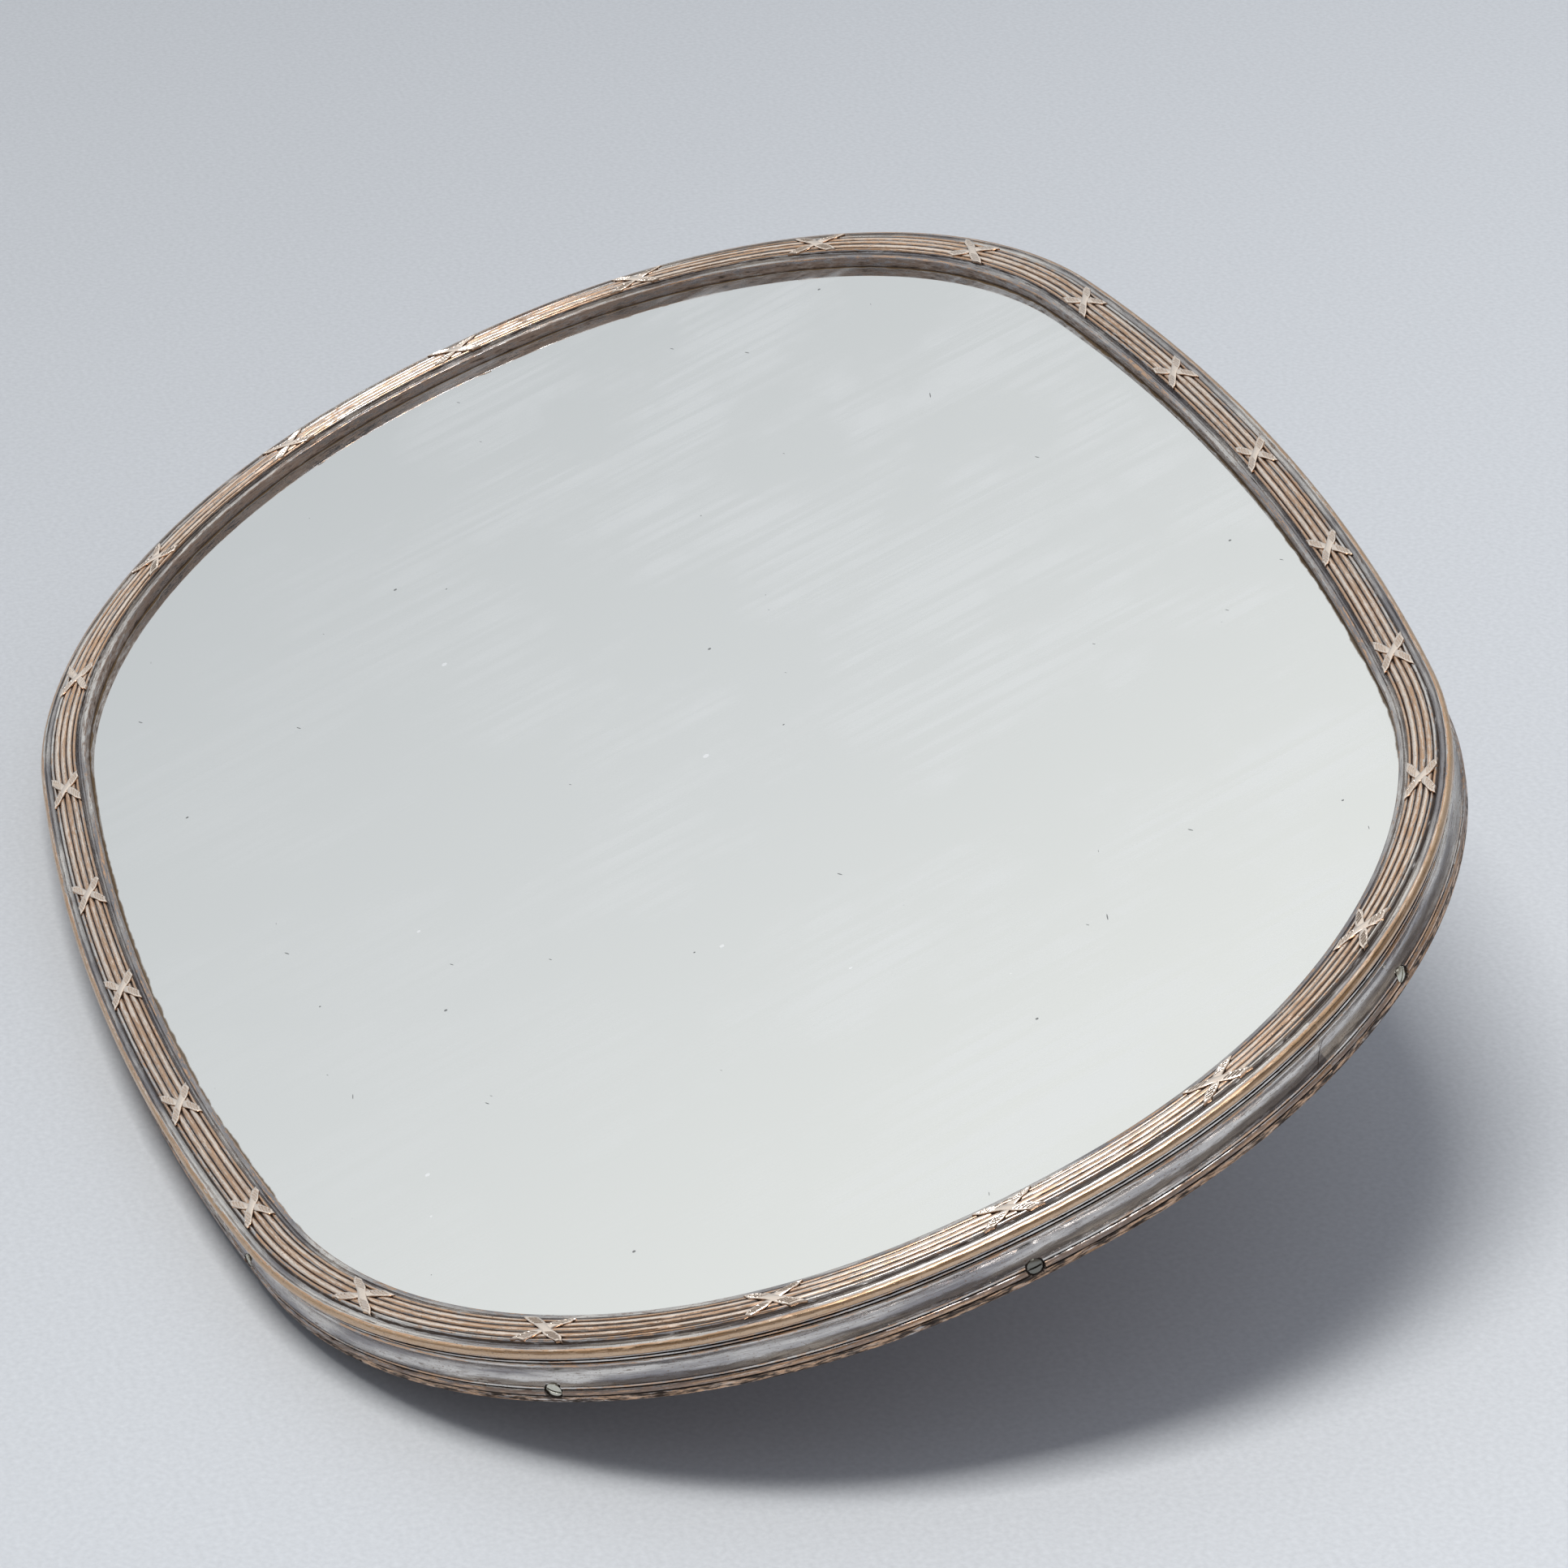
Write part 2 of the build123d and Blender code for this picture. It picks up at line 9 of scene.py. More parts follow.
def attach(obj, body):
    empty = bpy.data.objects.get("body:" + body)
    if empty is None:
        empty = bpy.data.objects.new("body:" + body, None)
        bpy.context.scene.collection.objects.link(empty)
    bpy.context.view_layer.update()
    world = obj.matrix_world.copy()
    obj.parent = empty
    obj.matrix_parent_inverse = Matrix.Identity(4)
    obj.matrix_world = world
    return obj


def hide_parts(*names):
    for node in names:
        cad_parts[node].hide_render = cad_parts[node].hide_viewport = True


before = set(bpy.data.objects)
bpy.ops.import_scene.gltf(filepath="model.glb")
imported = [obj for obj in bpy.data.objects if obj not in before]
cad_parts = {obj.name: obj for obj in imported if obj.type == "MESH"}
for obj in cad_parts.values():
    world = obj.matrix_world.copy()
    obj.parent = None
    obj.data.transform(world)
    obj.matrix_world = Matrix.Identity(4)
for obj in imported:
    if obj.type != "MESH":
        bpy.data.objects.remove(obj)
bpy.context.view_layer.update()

bl_info = {
    "name": "Reed and ribbon table mirror",
    "version": (1, 0, 0),
    "blender": (4, 5, 0),
    "location": "3D View > Sidebar > Table mirror",
    "description": "Dresses the CAD model of a leaning table mirror in worn silver plate, "
    "clouded glass, wood and baize",
    "category": "Object",
}

MM = 0.001

# values that each vertex of a bent section carries to its material
FINISH_LAYERS = ("along", "out", "across", "wear", "grime_and_shade", "tarnish")

# short lengths are spun one by one and then joined, because one long spin is slow
SPIN_STEPS = 24
# an arc shorter than this is a rounding error
SHORTEST = 1e-7
# points closer than this are joined, on a bent section and on a CAD piece
WELD = 0.01 * MM
CAD_WELD = 1e-6

# degrees: an edge of a CAD piece bent more than CREASE is eased, one bent less than FLAT goes
CREASE = 35.0
FLAT = 1.0

# degrees round the big bead from its outside to where the cove meets it
BEAD_LEAD = 96
# how far beyond a screw's spot face the fine steps go
FINE_MARGIN = 0.3 * MM
# length of one step along the rim of the glass
GLASS_STEP = 3 * MM

# the seam at a joint: its lean across the hollow, half its width and half its length
SEAM_SLANT = 1.1
SEAM_HALF_WIDTH = 0.16 * MM
SEAM_REACH = 2.9 * MM

# marks of the file on the bottom edge: cells in a metre and depth, and what is always filed off
FILE_MARKS = ((700, 0.35 * MM), (240, 0.2 * MM))
FILED_SKIN = 0.05 * MM

# where a ribbon's pleats and its raised rim begin and are whole, as shares of the way from the
# crossing to an end, or from the middle of the arm to its edge
TAIL_START = (0.28, 0.42)
RIM_SIDE = (0.55, 0.78)
RIM_END = (0.86, 0.95)
# pleats from the crossing to an end, and how much of one they slant by between middle and edge
PLEATS = 7.0
PLEAT_SLANT = 0.4
# half the height of a pleat, and how far the pleats lie under the rim
PLEAT_HEIGHT = 0.16 * MM
PLEAT_DEPTH = 0.14 * MM
# how far the under arm dips at the crossing, over what share of it, and how far the ends curl up
UNDER_ARM = 0.26 * MM
CROSSING = 0.22
CURL = 0.05 * MM
# the edges of an arm go down between the reeds; their low wear value draws them dark there, as
# painted shade
SKIRT_DEPTH = 0.35 * MM
SKIRT_SHADE_WEAR = -0.4

# degrees that the camera looks down and is turned
CAMERA_DIP = 27.58
CAMERA_TURN = 73.03


# ---------------------------------------------------------------- sizes and colours


def srgb(code):
    """A six-figure sRGB hex colour as linear red, green and blue."""
    parts = [int(code[start : start + 2], 16) / 255 for start in (0, 2, 4)]
    return tuple(
        part / 12.92 if part <= 0.04045 else ((part + 0.055) / 1.055) ** 2.4 for part in parts
    )


def size(name, millimetres, description):
    """A length that a user can change, given in millimetres."""
    return bpy.props.FloatProperty(
        name=name, description=description, default=millimetres * MM, unit="LENGTH", precision=5
    )


def tint(name, code, description):
    """A colour that a user can change, given as sRGB hex."""
    return bpy.props.FloatVectorProperty(
        name=name,
        description=description,
        default=srgb(code),
        subtype="COLOR",
        size=3,
        min=0.0,
        max=1.0,
    )


def group(kind, name, description):
    """A group of settings inside another."""
    return bpy.props.PointerProperty(type=kind, name=name, description=description)


class MirrorOutline(bpy.types.PropertyGroup):
    """The cushion-shaped outline, measured where the ribbons cross, and how the mirror stands."""

    half_length: size("Half length", 250.0, "From the middle to the ribbon line at each end")
    half_width: size("Half width", 162.0, "From the middle to the ribbon line at each long side")
    end_radius: size("End radius", 211.0, "Radius of the flat curve at each end")
    side_radius: size("Side radius", 850.0, "Radius of the flat curve of each long side")
    corner_ease: size("Corner ease", 15.0, "How much tighter the corners are than half the width")
    tilt: bpy.props.FloatProperty(
        name="Tilt",
        description="Angle between the glass and the floor",
        default=math.radians(20.3),
        subtype="ANGLE",
    )
    joint: bpy.props.FloatProperty(
        name="Joint", description="First joint in the moulding, in ribbon spacings", default=1.45
    )


class MouldingShape(bpy.types.PropertyGroup):
    """The moulding's section: outwards from the ribbon line and down from the reeds' crests."""

    reed: size("Reed width", 1.83, "Width of each of the three middle reeds")
    fine_reed: size("Fine reed width", 1.05, "Width of the first and last reeds")
    groove: size("Reed groove", 0.5, "Depth of the grooves between the reeds")
    groove_half: size("Groove half width", 0.16, "From the middle of a groove to a reed's back")
    flank: size("Reed flank", 0.33, "Depth of the edge of each reed's back")
    crown: size("Crown radius", 16.5, "Radius of the round back that the reeds lie on")
    lip_in: size("Lip inset", 6.2, "From the ribbon line in to the wall above the glass")
    lip_width: size("Lip width", 0.9, "Flat on top of the lip")
    lip_drop: size("Lip drop", 1.3, "Depth of the lip under the reeds")
    lip_round: size("Lip rounding", 0.35, "Rounding of the lip's inner edge")
    cove: size("Inner cove", 0.45, "Depth of the cove inside the reeds, and how far it falls")
    side_gap: size("Reed side gap", 0.2, "Width of the channel beside the reeds")
    narrow_cove: size("Narrow cove", 0.7, "Depth of the narrow cove outside the reeds")
    bead_out: size("Bead place", 5.80, "Centre of the big bead, outwards")
    bead_drop: size("Bead drop", 2.3427, "Centre of the big bead, downwards")
    bead_radius: size("Bead radius", 1.3, "Radius of the big bead")
    fillet_out: size("Fillet crest", 6.05, "Outside of the small fillets")
    fillet_in: size("Fillet root", 5.6, "Root of the small fillets")
    fillet_height: size("Fillet height", 0.45, "Height of each small fillet")
    thin_bead: size("Thin bead radius", 0.62, "Radius of the thin bead above the hollow")
    hollow_top: size("Hollow top", 6.95, "Where the wide hollow starts, downwards")
    hollow_root: size("Hollow root", 4.9, "Deepest point of the wide hollow, outwards")
    hollow_bottom: size("Hollow bottom", 12.2, "Where the wide hollow ends, downwards")
    edge_out: size("Edge place", 6.5, "Outside of the thin edge under the hollow")
    edge_height: size("Edge height", 0.5, "Height of the thin edge under the hollow")
    base_groove: size("Base groove", 5.75, "Root of the groove above the base bead")
    base_bead_out: size("Base bead place", 6.15, "Centre of the base bead, outwards")
    base_bead_drop: size("Base bead drop", 13.9, "Centre of the base bead, downwards")
    base_bead: size("Base bead radius", 0.85, "Radius of the base bead")
    base_out: size("Base place", 6.6, "Outside of the rough bottom edge")
    base_top: size("Base top", 15.1, "Where the rough bottom edge starts, downwards")
    depth: size("Depth", 16.6, "Whole depth of the moulding")
    rebate: size("Rebate", 3.3, "Wall of the rebate that holds the glass and board")
    channel_half: size("Channel", 2.7, "Half the width of the channel for the joint keys")
    channel_shift: size("Channel shift", -0.5, "Middle of the key channel, outwards")
    channel_depth: size("Channel depth", 1.8, "Depth of the channel for the joint keys")
    step: size("Step", 1.7, "Length of one step along the bent moulding")
    fine_step: size("Fine step", 0.16, "Length of one step beside a screw")


class RibbonShape(bpy.types.PropertyGroup):
    """The crossed ribbons and the side screws."""

    count: bpy.props.IntProperty(
        name="Ribbons", description="Crossed ribbons round the mirror", default=24
    )
    slipped: bpy.props.IntProperty(
        name="Slipped ribbon", description="The tie that has slid along", default=18
    )
    slip: size("Slip", -5.5, "How far the slipped tie has moved along the reeds")
    half_band: size("Half band", 3.8, "Half the width of the band of reeds that a ribbon crosses")
    waist: size("Waist", 3.4, "Width of an arm at the crossing, along the moulding")
    tail: size("Tail", 5.5, "Width of an arm at its ends, along the moulding")
    spread: size("Spread", 6.1, "How far an arm runs along the moulding from the crossing")
    notch: size("Notch", 0.2, "Depth of the cut in each tail")
    thickness: size("Thickness", 0.45, "Thickness of the ribbon")
    screw_drop: size("Screw drop", 13.3, "Axis of the side screws, downwards")
    recess: size("Recess radius", 2.2, "Radius of the spot face round each side screw")
    recess_out: size("Recess floor", 5.86, "Floor of the spot face, outwards")


class GlassAndBack(bpy.types.PropertyGroup):
    """The glass and what lies behind it."""

    glass_top: size("Glass top", 4.6, "Depth of the glass under the reeds")
    glass_thickness: size("Glass thickness", 3.0, "Thickness of the glass")
    glass_edge: size("Glass edge", 2.5, "Edge of the glass, outwards from the ribbon line")
    glass_bevel: size("Glass bevel", 0.3, "Ground edge of the glass")


class MirrorColours(bpy.types.PropertyGroup):
    """The colours of the finishes."""

    silver: tint("Silver", "E2DEDA", "Clean silver plate")
    dull_silver: tint("Dull silver", "959295", "Blue-grey sulphide film on the plate")
    brass: tint("Rose brass", "D0AB8D", "Red brass where the plate is worn through")
    golden_brass: tint("Golden brass", "C4A27F", "The big bead, where the brass has browned")
    # the pale brass is rubbed brass and also a painted highlight on the most worn crests
    pale_brass_and_highlight: tint("Rubbed brass", "F0E2D6", "Rubbed crests with a trace of silver left")
    tarnish: tint("Tarnish", "8A776B", "Brown-grey tarnish")
    # the grime colour stands for dirt and also paints shade into grooves, crevices and recesses
    grime_and_shade: tint("Grime", "33271F", "Old polish and dirt in the grooves")
    glass: tint("Glass", "F1F2F1", "Silvered plate glass, close to colourless")
    baize: tint("Baize", "4A2E2B", "Worn red-brown baize")
    wood: tint("Wood", "6B4630", "Stained beech")
    leather: tint("Leather", "3B2820", "Worn foot strip")
    floor: tint("Floor", "D6D8D9", "Pale studio floor")


class TableMirror(bpy.types.PropertyGroup):
    """All the settings of the table mirror."""

    outline: group(MirrorOutline, "Outline", "Outline and tilt")
    moulding: group(MouldingShape, "Moulding", "Section")
    ribbon: group(RibbonShape, "Ribbons", "Ribbons and screws")
    back: group(GlassAndBack, "Glass and back", "Glass and back")
    colours: group(MirrorColours, "Colours", "Finishes")


def settings():
    """The scene's table mirror settings."""
    return bpy.context.scene.table_mirror


# ---------------------------------------------------------------- the outline as arcs


def mirror_matrix():
    """To the world from the mirror's own frame: x along it, y up its slope, z out of the glass."""
    outline, m = settings().outline, settings().moulding
    lean = outline.tilt
    sine, cosine = math.sin(lean), math.cos(lean)
    rise = (outline.half_width + m.base_out) * sine + m.depth * cosine
    bead_reach = (outline.half_width + m.bead_out) * cosine - m.bead_drop * sine
    front = bead_reach + m.bead_radius
    behind = (outline.half_width + m.base_out) * cosine + m.depth * sine
    return Matrix.Translation((0.0, (front - behind) / 2, rise)) @ Matrix.Rotation(lean, 4, "X")


def outline_arcs():
    """The outline, anticlockwise from the near end's middle: centre, radius, start, sweep."""
    outline = settings().outline
    corner_radius = outline.half_width - outline.corner_ease
    to_side = outline.side_radius - corner_radius
    to_end = outline.end_radius - corner_radius
    side_y = outline.half_width - outline.side_radius
    end_x = outline.half_length - outline.end_radius
    apart = math.hypot(end_x, side_y)
    along = (to_side**2 - to_end**2 + apart**2) / (2 * apart)
    turn = math.atan2(-side_y, end_x) - math.acos(along / to_side)
    corner_x, corner_y = to_side * math.cos(turn), side_y + to_side * math.sin(turn)
    first = math.atan2(corner_y, corner_x - end_x)
    second = math.atan2(corner_y - side_y, corner_x)
    corner = second - first
    return [
        ((end_x, 0), outline.end_radius, 0, first),
        ((corner_x, corner_y), corner_radius, first, corner),
        ((0, side_y), outline.side_radius, second, math.pi - 2 * second),
        ((-corner_x, corner_y), corner_radius, math.pi - second, corner),
        ((-end_x, 0), outline.end_radius, math.pi - first, 2 * first),
        ((-corner_x, -corner_y), corner_radius, math.pi + first, corner),
        ((0, -side_y), outline.side_radius, math.pi + second, math.pi - 2 * second),
        ((corner_x, -corner_y), corner_radius, 2 * math.pi - second, corner),
        ((end_x, 0), outline.end_radius, 2 * math.pi - first, first),
    ]


def outline_length():
    """Length of the ribbon line all the way round."""
    return sum(radius * sweep for _, radius, _, sweep in outline_arcs())


def tie_pitch():
    """Spacing of the ribbons along the ribbon line."""
    return outline_length() / settings().ribbon.count


def stretch(first, last):
    """Arcs between two lengths: length at the start, centre, radius, start angle, sweep."""
    pieces, run = [], 0.0
    for centre, radius, start, sweep in outline_arcs() * 2:
        low, high = max(first, run), min(last, run + radius * sweep)
        if high - low > SHORTEST:
            begin, turn = start + (low - run) / radius, (high - low) / radius
            pieces.append((low, centre, radius, begin, turn))
        run += radius * sweep
    return pieces


def place(length):
    """A frame on the ribbon line: x along the moulding, y inwards and z out of the glass."""
    length %= outline_length()
    _, centre, radius, start, _ = stretch(length, length + MM)[0]
    spot = (centre[0] + radius * math.cos(start), centre[1] + radius * math.sin(start), 0.0)
    return Matrix.Translation(spot) @ Matrix.Rotation(start + math.pi / 2, 4, "Z")


def bend_section(wire, closed, runs):
    """A section bent along the outline.

    wire lists (out, up, finish values) and runs lists (first, last, step).
    """
    bm = bmesh.new()
    for name in FINISH_LAYERS:
        bm.verts.layers.float.new(name)
    carrier = bpy.data.meshes.new("carrier")
    for first, last, step in runs:
        for run, centre, radius, start, sweep in stretch(first, last):
            steps = max(1, math.ceil(radius * sweep / step))
            turn = sweep / steps
            for done in range(0, steps, SPIN_STEPS):
                count = min(SPIN_STEPS, steps - done)
                now = start + done * turn
                spun = spin_length(wire, closed, centre, radius, now, count * turn, count)
                along = spun.verts.layers.float["along"]
                for vert in spun.verts:
                    turned = math.atan2(vert.co.y - centre[1], vert.co.x - centre[0]) - start
                    vert[along] = run + radius * ((turned + math.pi) % math.tau - math.pi)
                spun.to_mesh(carrier)
                spun.free()
                bm.from_mesh(carrier)
    bpy.data.meshes.remove(carrier)
    bmesh.ops.remove_doubles(bm, verts=bm.verts, dist=WELD)
    return bm


def spin_length(wire, closed, centre, radius, start, sweep, steps):
    """A short length of one arc of the outline."""
    bm = bmesh.new()
    layers = [bm.verts.layers.float.new(name) for name in FINISH_LAYERS]
    ring = []
    for out, up, *values in wire:
        reach = radius + out
        spot = (centre[0] + reach * math.cos(start), centre[1] + reach * math.sin(start), up)
        vert = bm.verts.new(spot)
        vert[layers[1]] = out
        for layer, value in zip(layers[2:], values):
            vert[layer] = value
        ring.append(vert)
    pairs = list(zip(ring, ring[1:] + ring[:1] if closed else ring[1:]))
    geometry = ring + [bm.edges.new(pair) for pair in pairs]
    bmesh.ops.spin(bm, geom=geometry, cent=(*centre, 0), axis=(0, 0, 1), angle=sweep, steps=steps)
    return bm


# ---------------------------------------------------------------- meshes


def finish_mesh(bm, name, material, body, crease, node_name):
    """Turns a bmesh in world places into a piece that rides on a body and stands for a CAD node."""
    mesh = bpy.data.meshes.new(name)
    bm.to_mesh(mesh)
    bm.free()
    mesh.shade_smooth()
    mesh.set_sharp_from_angle(angle=math.radians(crease))
    mesh.materials.append(material)
    piece = bpy.data.objects.new(name, mesh)
    bpy.context.scene.collection.objects.link(piece)
    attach(piece, body)
    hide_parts(node_name)
    return piece


def softened(node_name, name, material, body, width, segments=2):
    """A CAD piece again, with its sharp edges eased by a width in millimetres."""
    bm = bmesh.new()
    bm.from_mesh(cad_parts[node_name].data)
    bmesh.ops.remove_doubles(bm, verts=bm.verts, dist=CAD_WELD)
    flat = math.radians(FLAT)
    bmesh.ops.dissolve_limit(bm, angle_limit=flat, verts=bm.verts, edges=bm.edges)
    inner = [edge for edge in bm.edges if len(edge.link_faces) == 2]
    bmesh.ops.bevel(
        bm,
        geom=[edge for edge in inner if edge.calc_face_angle() > math.radians(CREASE)],
        offset=width * MM,
        offset_type="OFFSET",
        segments=segments,
        profile=0.5,
        affect="EDGES",
        clamp_overlap=True,
        material=-1,
    )
    return finish_mesh(bm, name, material, body, CREASE, node_name)


# ---------------------------------------------------------------- nodes


def fill(tree, node, inputs):
    """Sets a node's sockets, each to a value or from another node's output."""
    for name, value in inputs.items():
        if isinstance(value, bpy.types.NodeSocket):
            tree.links.new(value, node.inputs[name])
        else:
            node.inputs[name].default_value = value


def add(tree, kind, inputs=None, output=0, **values):
    """Adds a node and gives one of its outputs, if it has any."""
    made = tree.nodes.new("ShaderNode" + kind)
    for name, value in values.items():
        setattr(made, name, value)
    fill(tree, made, inputs or {})
    return made.outputs[output] if made.outputs else None


def carried(tree, name):
    """A value that each vertex carries."""
    return add(tree, "Attribute", output="Fac", attribute_name=name)


def on_object(tree, scale=None):
    """Places on the object; a scale in cells per metre along each axis draws a pattern out."""
    spot = add(tree, "TexCoord", output="Object")
    return add(tree, "Mapping", {"Vector": spot, "Scale": scale}) if scale else spot


def noise_at(tree, spot, scale, detail=2.0, **more):
    """Noise with a number of cells in each unit of the places it is read at."""
    return add(tree, "TexNoise", {"Vector": spot, "Scale": scale, "Detail": detail, **more})


def reckon(tree, operation, *values):
    """One step of arithmetic."""
    return add(tree, "Math", dict(enumerate(values)), operation=operation)


def plus(tree, value, *parts):
    """A value plus shares of others, each given as (other, share)."""
    for part, share in parts:
        value = reckon(tree, "MULTIPLY_ADD", part, share, value)
    return value


def along_axis(tree, spot, axis):
    """How far a place lies along a direction."""
    return add(tree, "VectorMath", {0: spot, 1: axis}, "Value", operation="DOT_PRODUCT")


def spread(tree, value, at_low, at_high, low=0.0, high=1.0):
    """A value carried in proportion from low and high to at_low and at_high, and no further."""
    ends = {"From Min": low, "From Max": high, "To Min": at_low, "To Max": at_high}
    return add(tree, "MapRange", {"Value": value, **ends})


def mask(tree, value, low, high):
    """A value spread softly to 0 at low and 1 at high."""
    inputs = {"Value": value, "From Min": low, "From Max": high}
    return add(tree, "MapRange", inputs, interpolation_type="SMOOTHSTEP")


def blend(tree, share, low, high, mode="MIX"):
    """A colour part of the way from one to another."""
    ends = [end if isinstance(end, bpy.types.NodeSocket) else (*end, 1.0) for end in (low, high)]
    inputs = {0: share, 6: ends[0], 7: ends[1]}
    return add(tree, "Mix", inputs, 2, data_type="RGBA", blend_type=mode)


def scaled(colour, by, lift=0.0):
    """A lighter or darker colour."""
    return [min(1.0, part * by + lift) for part in colour]


def openness(tree, millimetres):
    """How open a place is to its surroundings within a distance, from 0 in a crack to 1."""
    return add(tree, "AmbientOcclusion", {"Distance": millimetres * MM}, "AO", samples=6)


def bump(tree, height, strength, millimetres, below=None):
    """A fine relief, over a coarser one if that is given."""
    inputs = {"Height": height, "Strength": strength, "Distance": millimetres * MM}
    return add(tree, "Bump", {**inputs, "Normal": below} if below else inputs)


def ramp(tree, value, stops):
    """A colour ramp from places along it to sRGB colours."""
    colour = add(tree, "ValToRGB", {"Fac": value})
    elements = colour.node.color_ramp.elements
    while len(elements) < len(stops):
        elements.new(0.5)
    for element, (position, code) in zip(elements, stops.items()):
        element.position = position
        element.color = (*srgb(code), 1.0)
    return colour


# ---------------------------------------------------------------- materials


def finish(paint):
    """The material whose shader inputs a function gives, named after it and made only once."""
    material = bpy.data.materials.get(paint.__name__)
    if material is None:
        material = bpy.data.materials.new(paint.__name__)
        material.use_nodes = True
        tree = material.node_tree
        tree.nodes.clear()
        add(tree, "OutputMaterial", {"Surface": add(tree, "BsdfPrincipled", paint(tree))})
    return material


def worn_silver_plate_on_stamped_brass(tree):
    """Silver plate on stamped red brass: blue-grey in the hollows, rose where it has worn."""
    colours, m = settings().colours, settings().moulding
    coat = {name: carried(tree, name) for name in ("along", "across", "wear", "grime_and_shade", "tarnish")}
    flat = add(tree, "CombineXYZ", {"X": coat["along"], "Y": coat["across"]})

    def streaks(long, wide, detail, shift):
        """Noise drawn out along the moulding; a streak's size is in millimetres."""
        scale = (1 / (long * MM), 1 / (wide * MM), 1)
        spot = add(tree, "Mapping", {"Vector": flat, "Scale": scale, "Location": (shift, shift, 0)})
        return noise_at(tree, spot, 1.0, detail, Roughness=0.6)

    rubbed = streaks(14, 0.7, 7.0, 3.1)
    patches = streaks(45, 5.0, 5.0, 11.7)
    stains = streaks(7, 1.1, 7.0, 23.9)
    flakes = streaks(2.6, 0.42, 5.0, 41.3)
    pits = mask(tree, streaks(0.6, 0.4, 2.0, 7.3), 0.63, 0.68)
    scratches = mask(tree, streaks(6, 0.16, 3.0, 87.1), 0.54, 0.74)

    wear = plus(tree, coat["wear"], (rubbed, 0.9), (patches, 0.8), (flakes, 0.7))
    film = plus(tree, coat["tarnish"], (stains, 0.9), (patches, -0.7), (flakes, 0.8))
    filmed = mask(tree, film, 1.0, 1.22)
    # painted shade: places that nearby surfaces shut in within 1.1 mm, such as grooves, the edges
    # of the ties and the screw recesses, are drawn dark
    crevice_shade_and_dirt = mask(tree, openness(tree, 1.1), 0.8, 0.35)
    # the vertex grime value, this crevice mask and the noises give dirt and painted shade together;
    # with the solder seam they darken the colour
    dirt_and_shade_amount = plus(tree, coat["grime_and_shade"], (crevice_shade_and_dirt, 0.7), (flakes, 0.6), (stains, 0.9), (rubbed, 0.35))
    dirt_and_shade = reckon(tree, "MAXIMUM", mask(tree, dirt_and_shade_amount, 1.38, 1.6), scarf_seam(tree, coat))

    clouded = mask(tree, plus(tree, patches, (coat["tarnish"], 0.35)), 0.5, 0.76)
    plate = blend(tree, clouded, colours.silver, colours.dull_silver)
    plate = blend(tree, scratches, plate, scaled(colours.tarnish, 0.4))
    on_bead = reckon(tree, "COMPARE", coat["across"], across_at(m.bead_drop), 1.25 * m.bead_radius)
    browned = reckon(tree, "MULTIPLY", on_bead, 0.75)
    brass = blend(tree, on_bead, colours.brass, colours.golden_brass)
    # the most worn places turn pale: rubbed brass, and a painted highlight on the crests
    polished_and_highlit = blend(tree, browned, colours.pale_brass_and_highlight, colours.golden_brass)
    surface = blend(tree, mask(tree, wear, 1.5, 1.62), plate, brass)
    surface = blend(tree, mask(tree, wear, 1.68, 1.95), surface, polished_and_highlit)
    for share in (filmed, pits):
        surface = blend(tree, share, surface, colours.tarnish)

    scuffed = mask(tree, plus(tree, streaks(19, 2.4, 5.0, 71.3), (flakes, 0.5)), 0.78, 0.9)
    dulled = ((filmed, 0.16), (dirt_and_shade, 0.3), (scuffed, 0.26))
    # the stamped sheet is thin, so it has shallow dents about 10 mm long
    dents = bump(tree, streaks(11, 3.2, 2.0, 57.9), 1.0, 0.32)
    return {
        "Base Color": blend(tree, dirt_and_shade, surface, colours.grime_and_shade),
        "Metallic": plus(tree, spread(tree, dirt_and_shade, 1.0, 0.25), (filmed, -0.5)),
        "Roughness": plus(tree, spread(tree, stains, 0.14, 0.34), *dulled),
        "Normal": bump(tree, plus(tree, rubbed, (pits, -0.8)), 0.25, 0.05, dents),
    }


def scarf_seam(tree, coat):
    """The slanting line of old solder across the wide hollow at each joint of the moulding."""
    m, half_turn = settings().moulding, outline_length() / 2
    middle = across_at((m.hollow_top + m.hollow_bottom) / 2)
    start = settings().outline.joint * tie_pitch() + middle * SEAM_SLANT
    slanted = reckon(tree, "MULTIPLY_ADD", coat["across"], SEAM_SLANT, coat["along"])
    shifted = reckon(tree, "SUBTRACT", slanted, start - half_turn / 2)
    wrapped = reckon(tree, "FLOORED_MODULO", shifted, half_turn)
    on_line = reckon(tree, "COMPARE", wrapped, half_turn / 2, SEAM_HALF_WIDTH)
    in_hollow = reckon(tree, "COMPARE", coat["across"], middle, SEAM_REACH)
    return reckon(tree, "MULTIPLY", on_line, in_hollow)


def rubbed_silver_plate_on_cast_ribbon(tree):
    """The ribbons stand highest, so their silver is nearly all rubbed away to rose brass."""
    colours, spot = settings().colours, on_object(tree)
    coarse, fine = noise_at(tree, spot, 300.0, 4.0), noise_at(tree, spot, 1900.0, 3.0)
    height = carried(tree, "wear")
    # the highest places are drawn pale: rubbed brass, and a painted highlight
    crest = mask(tree, plus(tree, height, (coarse, 0.8)), 0.35, 0.95)
    # painted shade: the ribbon is drawn dark in crevices within 0.7 mm and where its wear value is
    # low, at the arm's edges, in the pleat hollows and on the skirt, along with dirt
    crevice_shade_and_dirt = mask(tree, plus(tree, openness(tree, 0.7), (height, 0.25)), 0.7, 0.42)
    metal = blend(tree, crest, colours.brass, colours.pale_brass_and_highlight)
    return {
        "Base Color": blend(tree, crevice_shade_and_dirt, metal, colours.grime_and_shade),
        "Metallic": spread(tree, crevice_shade_and_dirt, 1.0, 0.3),
        "Roughness": spread(tree, fine, 0.14, 0.34),
        "Normal": bump(tree, fine, 0.25, 0.05),
    }


